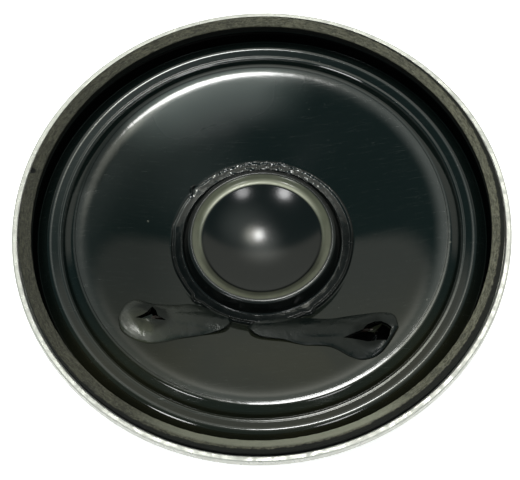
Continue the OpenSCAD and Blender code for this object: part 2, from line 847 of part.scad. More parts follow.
// The rivet through the board's centre has a head on each side
module board_rivet() {
  color("lightgray")
    translate([0, rivet_y, 0]) {
      translate([0, 0, board_z])
        cylinder(d = rivet_d, h = board_t + sheet_t);
      translate([0, 0, board_z - rivet_head_h])
        cylinder(d = rivet_head_d, h = rivet_head_h);
      translate([0, 0, floor_front_z])
        cylinder(d = rivet_head_d, h = rivet_head_h);
    }
}

module lug_rivets() {
  color("gold")
    for (x = [-lug_x, lug_x])
      translate([x, rivet_y, 0]) {
        translate([0, 0, lug_z])
          cylinder(d = rivet_d, h = lug_t + board_t);
        translate([0, 0, lug_z - rivet_head_h])
          cylinder(d = rivet_head_d, h = rivet_head_h);
        translate([0, 0, floor_z])
          cylinder(d = rivet_head_d, h = rivet_head_h);
      }
}

module terminal_lug(s) {
  color("khaki")
    difference() {
      translate([s * lug_x, 0, lug_z]) {
        translate([-lug_w / 2, lug_hole_y, 0])
          cube([lug_w, lug_in_y - lug_hole_y, lug_t]);
        translate([0, lug_hole_y, 0])
          cylinder(d = lug_w, h = lug_t);
      }
      translate([s * lug_x, lug_hole_y, lug_z - over])
        cylinder(d = lug_hole_d, h = lug_t + 2 * over);
      translate([s * lug_x, rivet_y, lug_z - over])
        cylinder(d = rivet_d + 2 * fit, h = lug_t + 2 * over);
    }
}

module terminal_lug_left() {
  terminal_lug(-1);
}

module terminal_lug_right() {
  terminal_lug(1);
}

module solder(s) {
  color("lightgray")
    translate([solder_xy(s)[0], solder_xy(s)[1], lug_z])
      rotate([180, 0, 0])
        rotate_extrude()
          polygon(concat([[0, 0]], [for (i = [0:steps])
            [cos(90 * i / steps) * solder_d / 2, sin(90 * i / steps) * solder_h]]));
}

module solder_left() {
  solder(-1);
}

module solder_right() {
  solder(1);
}

back_plate();
pole_piece();
magnet_ring();
magnet_glue_rear();
magnet_glue_front();
front_plate();
basket();
basket_rivets();
vent_felt();
rim_glue();
diaphragm_surround();
gasket_ring();
terminal_board();
board_rivet();
terminal_lug_left();
terminal_lug_right();
lug_rivets();
solder_left();
solder_right();
pigtail_left();
pigtail_right();
diaphragm_cone();
centre_cap();
voice_coil_former();
voice_coil_winding();
neck_glue();
cap_glue_bead();
lead_wire_left();
lead_wire_right();
lead_glue_left();
lead_glue_right();
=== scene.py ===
"""Visual model of a miniature film-diaphragm speaker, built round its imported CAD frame."""

import logging
import math
import random
from dataclasses import dataclass, field
from enum import Enum
from typing import Callable, Sequence

import bmesh
import bpy
from mathutils import Matrix, Vector, noise


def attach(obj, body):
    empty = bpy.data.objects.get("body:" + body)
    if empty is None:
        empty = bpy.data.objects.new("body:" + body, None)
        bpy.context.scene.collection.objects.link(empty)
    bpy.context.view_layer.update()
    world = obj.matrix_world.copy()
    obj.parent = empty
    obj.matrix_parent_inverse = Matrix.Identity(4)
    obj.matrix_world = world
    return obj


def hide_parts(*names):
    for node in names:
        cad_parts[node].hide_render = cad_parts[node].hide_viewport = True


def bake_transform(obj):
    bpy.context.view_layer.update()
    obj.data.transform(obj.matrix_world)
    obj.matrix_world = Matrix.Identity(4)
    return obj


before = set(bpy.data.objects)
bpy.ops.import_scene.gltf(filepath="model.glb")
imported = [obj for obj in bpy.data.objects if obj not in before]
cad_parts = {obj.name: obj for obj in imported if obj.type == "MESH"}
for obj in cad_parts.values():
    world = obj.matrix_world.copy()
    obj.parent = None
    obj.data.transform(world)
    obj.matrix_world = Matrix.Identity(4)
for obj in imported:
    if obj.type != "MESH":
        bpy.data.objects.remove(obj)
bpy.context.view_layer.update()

log = logging.getLogger("speaker")

MM = 0.001
TURN = 2 * math.pi
FRAME_BODY = "frame"
CONE_BODY = "cone"

Corner = tuple[float, float, float]
Flat = tuple[float, float]
Colour = tuple[float, float, float]


class Joining(Enum):
    """How the ends of a revolved outline are treated."""

    CLOSED = "closed"
    ON_AXIS = "on axis"


# Shapes in the plane of a section


def rounded(a: Flat, b: Flat, c: Flat, radius: float, steps: int) -> list[Flat]:
    """Rounds one corner of an outline with an arc.

    Args:
        a: the point before the corner.
        b: the corner.
        c: the point after the corner.
        radius: radius of the arc, cut down where the sides are short.
        steps: number of chords along the arc.

    Returns:
        The points of the arc, from the side of a to the side of c.
    """
    corner = Vector(b)
    u = Vector(a) - corner
    v = Vector(c) - corner
    if radius <= 0 or u.length == 0 or v.length == 0:
        return [b]
    half = u.angle(v) / 2
    if half > math.radians(89.5):
        return [b]
    back = min(radius / math.tan(half), u.length * 0.48, v.length * 0.48)
    true_radius = back * math.tan(half)
    middle = corner + (u.normalized() + v.normalized()).normalized() * (true_radius / math.sin(half))
    start = corner + u.normalized() * back - middle
    end = corner + v.normalized() * back - middle
    points = []
    for i in range(steps + 1):
        spoke = start.lerp(end, i / steps)
        points.append(tuple(middle + spoke.normalized() * true_radius))
    return points


def smooth_path(corners: Sequence[Corner], steps: int = 6) -> list[Flat]:
    """Rounds the inner corners of an open path.

    Args:
        corners: points as (radius, height, rounding).
        steps: chords in each rounding.

    Returns:
        The points of the rounded path.
    """
    flat = [(c[0], c[1]) for c in corners]
    path = [flat[0]]
    for i in range(1, len(corners) - 1):
        path += rounded(flat[i - 1], flat[i], flat[i + 1], corners[i][2], steps)
    return path + [flat[-1]]


def smooth_loop(corners: Sequence[Corner], steps: int = 4) -> list[Flat]:
    """Rounds every corner of a closed outline.

    Args:
        corners: points as (radius, height, rounding).
        steps: chords in each rounding.

    Returns:
        The points of the rounded outline.
    """
    flat = [(c[0], c[1]) for c in corners]
    count = len(flat)
    loop: list[Flat] = []
    for i in range(count):
        loop += rounded(flat[i - 1], flat[i], flat[(i + 1) % count], corners[i][2], steps)
    return loop


def beside(path: Sequence[Flat], distance: float) -> list[Flat]:
    """Moves a path sideways, square to its own direction.

    Args:
        path: the points of the path.
        distance: how far to its left the path moves.

    Returns:
        As many points, moved.
    """
    moved = []
    last = len(path) - 1
    for i, point in enumerate(path):
        before = Vector(path[min(i, last - 1) + 1]) - Vector(path[min(i, last - 1)])
        after = Vector(path[max(i - 1, 0) + 1]) - Vector(path[max(i - 1, 0)])
        a = Vector((-before.y, before.x)).normalized()
        b = Vector((-after.y, after.x)).normalized()
        middle = (a + b).normalized()
        moved.append(tuple(Vector(point) + middle * distance / max(0.3, middle.dot(a))))
    return moved


def finer(path: Sequence[Flat], longest: float) -> list[Flat]:
    """Splits the long stretches of a path.

    Args:
        path: the points of the path.
        longest: the longest stretch that stays whole.

    Returns:
        The path with points added along its long stretches.
    """
    points = [path[0]]
    for a, b in zip(path, path[1:]):
        parts = max(1, math.ceil((Vector(b) - Vector(a)).length / longest))
        for i in range(1, parts + 1):
            points.append(tuple(Vector(a).lerp(Vector(b), i / parts)))
    return points


def through(points: Sequence[Flat], steps: int, closed: bool = False) -> list[Flat]:
    """Draws a smooth curve through given points.

    Args:
        points: the points that the curve passes.
        steps: chords between one point and the next.
        closed: whether the curve returns to its first point.

    Returns:
        The points of the curve.
    """
    count = len(points)
    spans = count if closed else count - 1
    curve = []
    for i in range(spans):
        if closed:
            p = [Vector(points[(i + k) % count]) for k in (-1, 0, 1, 2)]
        else:
            p = [Vector(points[min(max(i + k, 0), count - 1)]) for k in (-1, 0, 1, 2)]
        for k in range(steps):
            t = k / steps
            curve.append(tuple(0.5 * (2 * p[1] + (p[2] - p[0]) * t
                                      + (2 * p[0] - 5 * p[1] + 4 * p[2] - p[3]) * t * t
                                      + (3 * p[1] - p[0] - 3 * p[2] + p[3]) * t ** 3)))
    return curve if closed else curve + [tuple(points[-1])]


def bump(value: float, centre: float, width: float) -> float:
    """A smooth hump of height 1 at centre that fades to nothing at width from it."""
    t = min(1.0, abs(value - centre) / width)
    return (1 - t * t) ** 2


def ease(value: float) -> float:
    """A smooth step from 0 to 1."""
    t = min(1.0, max(0.0, value))
    return t * t * (3 - 2 * t)


# Meshes


def revolve(section: Sequence[Flat], segments: int, joining: Joining) -> bmesh.types.BMesh:
    """Turns a section about the Z axis.

    Args:
        section: points of the section as (radius, height).
        segments: number of steps round the axis.
        joining: whether the section is a closed outline or ends on the axis.

    Returns:
        A closed mesh with its faces outwards.
    """
    bm = bmesh.new()
    verts = [bm.verts.new((r, 0, z)) for r, z in section]
    edges = [bm.edges.new((a, b)) for a, b in zip(verts, verts[1:])]
    if joining is Joining.CLOSED:
        edges.append(bm.edges.new((verts[-1], verts[0])))
    bmesh.ops.spin(bm, geom=verts + edges, cent=(0, 0, 0), axis=(0, 0, 1), dvec=(0, 0, 0),
                   angle=TURN, steps=segments, use_merge=True)
    bmesh.ops.remove_doubles(bm, verts=bm.verts, dist=1e-7)
    bmesh.ops.dissolve_degenerate(bm, edges=bm.edges, dist=1e-7)
    bmesh.ops.recalc_face_normals(bm, faces=bm.faces)
    return bm


def move_verts(bm: bmesh.types.BMesh, rule: Callable[[Vector], Vector]) -> None:
    """Moves every vertex of a mesh by a rule that gives its new place."""
    for vert in bm.verts:
        vert.co = rule(vert.co)


def make_piece(name: str, bm: bmesh.types.BMesh, material: bpy.types.Material,
               sharp: float = 40) -> bpy.types.Object:
    """Makes an object of a mesh and shades it.

    Args:
        name: name of the piece.
        bm: its mesh, which is freed.
        material: its finish.
        sharp: edges that turn more than this many degrees stay sharp.

    Returns:
        The new object.
    """
    mesh = bpy.data.meshes.new(name)
    bm.to_mesh(mesh)
    bm.free()
    mesh.shade_smooth()
    mesh.set_sharp_from_angle(angle=math.radians(sharp))
    mesh.materials.append(material)
    obj = bpy.data.objects.new(name, mesh)
    bpy.context.scene.collection.objects.link(obj)
    return obj


def apply_modifiers(obj: bpy.types.Object) -> None:
    """Makes the result of a piece's modifiers its own mesh."""
    graph = bpy.context.evaluated_depsgraph_get()
    done = bpy.data.meshes.new_from_object(obj.evaluated_get(graph))
    old = obj.data
    obj.modifiers.clear()
    obj.data = done
    done.name = old.name
    bpy.data.meshes.remove(old)


def cut(obj: bpy.types.Object, cutters: Sequence[bpy.types.Object]) -> None:
    """Cuts closed shapes out of a piece and removes the shapes.

    Args:
        obj: the piece.
        cutters: the closed shapes.
    """
    for cutter in cutters:
        modifier = obj.modifiers.new("cut", "BOOLEAN")
        modifier.object = cutter
        modifier.operation = "DIFFERENCE"
        modifier.solver = "EXACT"
    apply_modifiers(obj)
    for cutter in cutters:
        bpy.data.objects.remove(cutter)


def prism(outline: Sequence[Flat], low: float, high: float, taper: float = 1.0) -> bpy.types.Object:
    """A closed prism for cutting.

    Args:
        outline: its outline as seen from the front.
        low: height of its rear end.
        high: height of its front end.
        taper: size of the front end as a share of the rear one.

    Returns:
        The prism as an object.
    """
    bm = bmesh.new()
    rear = bm.faces.new([bm.verts.new((x, y, low)) for x, y in outline])
    grown = bmesh.ops.extrude_face_region(bm, geom=[rear])
    front = [v for v in grown["geom"] if isinstance(v, bmesh.types.BMVert)]
    bmesh.ops.translate(bm, verts=front, vec=(0, 0, high - low))
    middle = sum((v.co for v in front), Vector()) / len(front)
    bmesh.ops.scale(bm, verts=front, vec=(taper, taper, 1), space=Matrix.Translation(-middle))
    bmesh.ops.recalc_face_normals(bm, faces=bm.faces)
    mesh = bpy.data.meshes.new("cutter")
    bm.to_mesh(mesh)
    bm.free()
    obj = bpy.data.objects.new("cutter", mesh)
    bpy.context.scene.collection.objects.link(obj)
    return obj


def tube(path: Sequence[Vector], radius: float, sides: int) -> bmesh.types.BMesh:
    """A round tube along a path, with closed ends.

    Args:
        path: the points of its centre line.
        radius: radius of the tube.
        sides: number of sides.

    Returns:
        The mesh of the tube.
    """
    bm = bmesh.new()
    rings = []
    across = Vector((0.31, 0.17, 1)).normalized()
    for i, point in enumerate(path):
        ahead = (path[min(i + 1, len(path) - 1)] - path[max(i - 1, 0)]).normalized()
        across = (across - ahead * across.dot(ahead)).normalized()
        turn = Matrix((across, ahead.cross(across), ahead)).transposed().to_4x4()
        made = bmesh.ops.create_circle(bm, cap_ends=False, segments=sides, radius=radius,
                                       matrix=Matrix.Translation(point) @ turn)
        rings.append([e for e in bm.edges if e.verts[0] in made["verts"] and e.verts[1] in made["verts"]])
    for a, b in zip(rings, rings[1:]):
        bmesh.ops.bridge_loops(bm, edges=a + b)
    bmesh.ops.holes_fill(bm, edges=rings[0] + rings[-1], sides=sides)
    bmesh.ops.recalc_face_normals(bm, faces=bm.faces)
    return bm


# Sizes read from the frame


def reach(node: str) -> tuple[float, float, float, float]:
    """Measures a CAD node about the Z axis.

    Args:
        node: name of the node.

    Returns:
        Its least and greatest radius and its least and greatest height.
    """
    corners = [v.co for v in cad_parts[node].data.vertices]
    radii = [math.hypot(c.x, c.y) for c in corners]
    heights = [c.z for c in corners]
    return min(radii), max(radii), min(heights), max(heights)


@dataclass(frozen=True)
class Datum:
    """Heights and radii that more than one piece uses, in metres."""

    film: float
    rim_r: float
    lip_z: float
    gasket_r: float
    gasket_in_r: float
    gasket_z: float
    gasket_top_z: float
    film_rim_z: float
    shoulder_r: float
    shoulder_z: float
    neck_in_r: float
    neck_z: float
    foot_r: float
    crest_z: float

    @staticmethod
    def from_frame() -> "Datum":
        """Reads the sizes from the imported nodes."""
        film = 0.12 * MM
        seam = 0.04 * MM
        neck_in_r, cone_r, cone_low, cone_high = reach("diaphragm_cone")
        gasket_in_r, gasket_r, gasket_z, gasket_top_z = reach("gasket_ring")
        return Datum(
            film=film,
            rim_r=reach("basket")[1],
            lip_z=reach("basket")[3],
            gasket_r=gasket_r,
            gasket_in_r=gasket_in_r,
            gasket_z=gasket_z,
            gasket_top_z=gasket_top_z,
            film_rim_z=reach("diaphragm_surround")[3],
            shoulder_r=cone_r + seam / 2,
            shoulder_z=cone_high,
            neck_in_r=neck_in_r,
            neck_z=cone_low + film,
            foot_r=reach("centre_cap")[1],
            crest_z=reach("centre_cap")[3],
        )

    @property
    def neck_r(self) -> float:
        """Radius where the cone's slope starts."""
        return self.foot_r + 0.85 * MM

    def cone_z(self, radius: float) -> float:
        """Height of the cone's front face at a radius."""
        power = 5
        t = min(1.0, max(0.0, (radius - self.neck_r) / (self.shoulder_r - self.neck_r)))
        return self.neck_z + (self.shoulder_z - self.neck_z) * (power * t - t ** power) / (power - 1)

    def on_cone(self, x: float, y: float, lift: float = 0) -> Vector:
        """A point above the cone's front face."""
        return Vector((x, y, self.cone_z(math.hypot(x, y)) + lift))


# Node sheets and shared effects


class Sheet:
    """Adds nodes to one node tree and joins them."""

    def __init__(self, tree: bpy.types.NodeTree) -> None:
        """Starts on a node tree."""
        self.tree = tree

    def add(self, kind: str, inputs: dict | None = None, **settings: object) -> bpy.types.Node:
        """Adds a node.

        Args:
            kind: its type.
            inputs: values or sockets for its inputs, by name or number.
            settings: its other properties.

        Returns:
            The node.
        """
        node = self.tree.nodes.new(kind)
        for key, value in settings.items():
            setattr(node, key, value)
        for key, value in (inputs or {}).items():
            if isinstance(value, bpy.types.NodeSocket):
                self.tree.links.new(value, node.inputs[key])
            else:
                node.inputs[key].default_value = value
        return node

    def math(self, operation: str, a: object, b: object = 0.0, clamp: bool = False) -> bpy.types.NodeSocket:
        """The result of a Math node."""
        return self.add("ShaderNodeMath", {0: a, 1: b}, operation=operation, use_clamp=clamp).outputs[0]

    def spread(self, value: object, low: float, high: float, to_low: float = 0.0,
               to_high: float = 1.0, smooth: bool = True) -> bpy.types.NodeSocket:
        """Maps a value from one range to another."""
        kind = "SMOOTHSTEP" if smooth else "LINEAR"
        return self.add("ShaderNodeMapRange", {"Value": value, "From Min": low, "From Max": high,
                        "To Min": to_low, "To Max": to_high}, interpolation_type=kind).outputs[0]

    def blend(self, share: object, a: object, b: object, kind: str = "MIX") -> bpy.types.NodeSocket:
        """Mixes two colours."""
        node = self.add("ShaderNodeMix", data_type="RGBA", blend_type=kind)
        for key, value in ((0, share), (6, a), (7, b)):
            if isinstance(value, bpy.types.NodeSocket):
                self.tree.links.new(value, node.inputs[key])
            else:
                node.inputs[key].default_value = (*value, 1) if isinstance(value, tuple) else value
        return node.outputs[2]

    def noise(self, where: object, scale: float, detail: float = 3, rough: float = 0.5,
              distort: float = 0.0) -> bpy.types.NodeSocket:
        """The value of a Noise texture."""
        return self.add("ShaderNodeTexNoise", {"Vector": where, "Scale": scale, "Detail": detail,
                        "Roughness": rough, "Distortion": distort}).outputs["Fac"]

    def group(self, tree: bpy.types.NodeTree, inputs: dict) -> bpy.types.Node:
        """Places a shared effect."""
        node = self.add("ShaderNodeGroup", node_tree=tree)
        for key, value in inputs.items():
            if isinstance(value, bpy.types.NodeSocket):
                self.tree.links.new(value, node.inputs[key])
            else:
                node.inputs[key].default_value = value
        return node


class Effects:
    """The node groups that more than one finish uses. They work in millimetres."""

    def __init__(self) -> None:
        """Builds each group once."""
        self.place = self.make_place()
        self.scratches = self.make_scratches()
        self.specks = self.make_specks()
        self.mottle = self.make_mottle()
        self.grain = self.make_grain()

    @staticmethod
    def open_group(name: str, inputs: Sequence[tuple[str, str, object]],
                   outputs: Sequence[tuple[str, str]]) -> tuple[Sheet, bpy.types.Node, bpy.types.Node]:
        """Starts a group.

        Args:
            name: its name.
            inputs: name, kind and value of each input.
            outputs: name and kind of each output.

        Returns:
            Its sheet, its input node and its output node.
        """
        tree = bpy.data.node_groups.new(name, "ShaderNodeTree")
        for label, kind, value in inputs:
            socket = tree.interface.new_socket(label, in_out="INPUT", socket_type=kind)
            if value is not None:
                socket.default_value = value
        for label, kind in outputs:
            tree.interface.new_socket(label, in_out="OUTPUT", socket_type=kind)
        sheet = Sheet(tree)
        return sheet, sheet.add("NodeGroupInput"), sheet.add("NodeGroupOutput")

    def make_place(self) -> bpy.types.NodeTree:
        """Object coordinates in millimetres, with the distance from the axis and the angle round it."""
        sheet, _, out = self.open_group("place", [], [
            ("Point", "NodeSocketVector"), ("Radius", "NodeSocketFloat"),
            ("Angle", "NodeSocketFloat"), ("Height", "NodeSocketFloat"), ("Rolled", "NodeSocketVector")])
        coords = sheet.add("ShaderNodeTexCoord").outputs["Object"]
        point = sheet.add("ShaderNodeVectorMath", {0: coords, "Scale": 1 / MM}, operation="SCALE").outputs[0]
        split = sheet.add("ShaderNodeSeparateXYZ", {0: point})
        x, y, z = split.outputs[0], split.outputs[1], split.outputs[2]
        radius = sheet.math("SQRT", sheet.math("ADD", sheet.math("MULTIPLY", x, x), sheet.math("MULTIPLY", y, y)))
        angle = sheet.math("ARCTAN2", y, x)
        rolled = sheet.add("ShaderNodeCombineXYZ", {0: radius, 1: angle, 2: z}).outputs[0]
        for key, value in (("Point", point), ("Radius", radius), ("Angle", angle), ("Height", z),
                           ("Rolled", rolled)):
            sheet.tree.links.new(value, out.inputs[key])
        return sheet.tree

    def make_scratches(self) -> bpy.types.NodeTree:
        """Short fine scratches in several directions."""
        sheet, given, out = self.open_group("fine_scratches", [
            ("Point", "NodeSocketVector", None), ("Density", "NodeSocketFloat", 0.5),
            ("Size", "NodeSocketFloat", 1.0)], [("Mask", "NodeSocketFloat")])
        total = None
        for angle, stretch in ((12, 14), (74, 22), (-38, 18), (101, 30)):
            turned = sheet.add("ShaderNodeMapping", {"Vector": given.outputs["Point"],
                               "Rotation": (0, 0, math.radians(angle)), "Location": (angle, stretch, 0),
                               "Scale": (1.0, stretch, 1.0)}).outputs[0]
            scaled = sheet.add("ShaderNodeVectorMath", {0: turned, "Scale": given.outputs["Size"]},
                               operation="SCALE").outputs[0]
            cells = sheet.add("ShaderNodeTexVoronoi", {"Vector": scaled, "Scale": 0.35},
                              feature="DISTANCE_TO_EDGE").outputs["Distance"]
            line = sheet.spread(cells, 0.0, 0.012, 1.0, 0.0)
            where = sheet.noise(turned, 0.22, 2)
            kept = sheet.spread(sheet.math("ADD", where, sheet.math("MULTIPLY", given.outputs["Density"], 0.4)),
                                0.82, 0.9)
            mask = sheet.math("MULTIPLY", line, kept)
            total = mask if total is None else sheet.math("MAXIMUM", total, mask)
        sheet.tree.links.new(total, out.inputs["Mask"])
        return sheet.tree

    def make_specks(self) -> bpy.types.NodeTree:
        """Grains of dust."""
        sheet, given, out = self.open_group("dust_specks", [
            ("Point", "NodeSocketVector", None), ("Scale", "NodeSocketFloat", 1.2),
            ("Amount", "NodeSocketFloat", 0.2)], [("Mask", "NodeSocketFloat")])
        cells = sheet.add("ShaderNodeTexVoronoi", {"Vector": given.outputs["Point"],
                          "Scale": given.outputs["Scale"]})
        size = sheet.add("ShaderNodeSeparateColor", {0: cells.outputs["Color"]})
        chosen = sheet.math("LESS_THAN", size.outputs[0], given.outputs["Amount"])
        radius = sheet.math("MULTIPLY", size.outputs[1], 0.09)
        dot = sheet.math("LESS_THAN", cells.outputs["Distance"], radius)
        sheet.tree.links.new(sheet.math("MULTIPLY", chosen, dot), out.inputs["Mask"])
        return sheet.tree

    def make_mottle(self) -> bpy.types.NodeTree:
        """Soft patches, from 0 to 1."""
        sheet, given, out = self.open_group("mottle", [
            ("Point", "NodeSocketVector", None), ("Scale", "NodeSocketFloat", 0.3),
            ("Contrast", "NodeSocketFloat", 1.0)], [("Value", "NodeSocketFloat")])
        large = sheet.add("ShaderNodeTexNoise", {"Vector": given.outputs["Point"],
                          "Scale": given.outputs["Scale"], "Detail": 5, "Distortion": 0.6}).outputs["Fac"]
        centred = sheet.math("MULTIPLY", sheet.math("SUBTRACT", large, 0.5),
                             sheet.math("MULTIPLY", given.outputs["Contrast"], 2.0))
        sheet.tree.links.new(sheet.math("ADD", centred, 0.5, clamp=True), out.inputs["Value"])
        return sheet.tree

    def make_grain(self) -> bpy.types.NodeTree:
        """Fine grain for bump and roughness, from 0 to 1."""
        sheet, given, out = self.open_group("grain", [
            ("Point", "NodeSocketVector", None), ("Scale", "NodeSocketFloat", 8.0)],
            [("Value", "NodeSocketFloat")])
        fine = sheet.add("ShaderNodeTexNoise", {"Vector": given.outputs["Point"],
                         "Scale": given.outputs["Scale"], "Detail": 6, "Roughness": 0.6}).outputs["Fac"]
        cells = sheet.add("ShaderNodeTexVoronoi", {"Vector": given.outputs["Point"],
                          "Scale": given.outputs["Scale"]}).outputs["Distance"]
        mixed = sheet.math("ADD", sheet.math("MULTIPLY", fine, 0.7), sheet.math("MULTIPLY", cells, 0.3))
        sheet.tree.links.new(mixed, out.inputs["Value"])
        return sheet.tree


class Finish:
    """A material with a Principled shader, a sheet and the place of each point on the part."""

    def __init__(self, name: str, effects: Effects, **plain: object) -> None:
        """Starts a material.

        Args:
            name: its name.
            effects: the shared groups.
            plain: values of the shader that are the same all over, by socket name.
        """
        self.material = bpy.data.materials.new(name)
        self.material.use_nodes = True
        self.effects = effects
        self.sheet = Sheet(self.material.node_tree)
        self.shader = self.material.node_tree.nodes["Principled BSDF"]
        for key, value in plain.items():
            self.shader.inputs[key.replace("_", " ")].default_value = value
        self.place = self.sheet.group(effects.place, {})
        self.point = self.place.outputs["Point"]
        self.radius = self.place.outputs["Radius"]
        self.angle = self.place.outputs["Angle"]
        self.height = self.place.outputs["Height"]
        self.rolled = self.place.outputs["Rolled"]

    def colour(self, socket: bpy.types.NodeSocket) -> None:
        """Joins the base colour."""
        self.sheet.tree.links.new(socket, self.shader.inputs["Base Color"])

    def roughness(self, socket: bpy.types.NodeSocket) -> None:
        """Joins the roughness."""
        self.sheet.tree.links.new(socket, self.shader.inputs["Roughness"])

    def metallic(self, socket: bpy.types.NodeSocket) -> None:
        """Joins the metallic share."""
        self.sheet.tree.links.new(socket, self.shader.inputs["Metallic"])

    def relief(self, heights: Sequence[tuple[bpy.types.NodeSocket, float]]) -> None:
        """Adds bumps one over the other.

        Args:
            heights: pairs of a height from 0 to 1 and its depth in millimetres.
        """
        normal = None
        for socket, depth in heights:
            inputs = {"Height": socket, "Distance": depth * MM, "Strength": 1.0}
            if normal is not None:
                inputs["Normal"] = normal
            normal = self.sheet.add("ShaderNodeBump", inputs).outputs[0]
        self.sheet.tree.links.new(normal, self.shader.inputs["Normal"])

    def walls(self) -> bpy.types.NodeSocket:
        """1 where the surface stands upright, 0 where it lies flat."""
        normal = self.sheet.add("ShaderNodeNewGeometry").outputs["True Normal"]
        up = self.sheet.math("ABSOLUTE", self.sheet.add("ShaderNodeSeparateXYZ", {0: normal}).outputs[2])
        return self.sheet.spread(up, 0.25, 0.5, 1.0, 0.0)

    def mottle(self, scale: float, contrast: float = 1.0) -> bpy.types.NodeSocket:
        """Soft patches."""
        return self.sheet.group(self.effects.mottle, {"Point": self.point, "Scale": scale,
                                "Contrast": contrast}).outputs[0]

    def grain(self, scale: float) -> bpy.types.NodeSocket:
        """Fine grain."""
        return self.sheet.group(self.effects.grain, {"Point": self.point, "Scale": scale}).outputs[0]

    def specks(self, scale: float, amount: float) -> bpy.types.NodeSocket:
        """Grains of dust."""
        return self.sheet.group(self.effects.specks, {"Point": self.point, "Scale": scale,
                                "Amount": amount}).outputs[0]

    def scratches(self, density: float, size: float) -> bpy.types.NodeSocket:
        """Fine scratches."""
        return self.sheet.group(self.effects.scratches, {"Point": self.point, "Density": density,
                                "Size": size}).outputs[0]


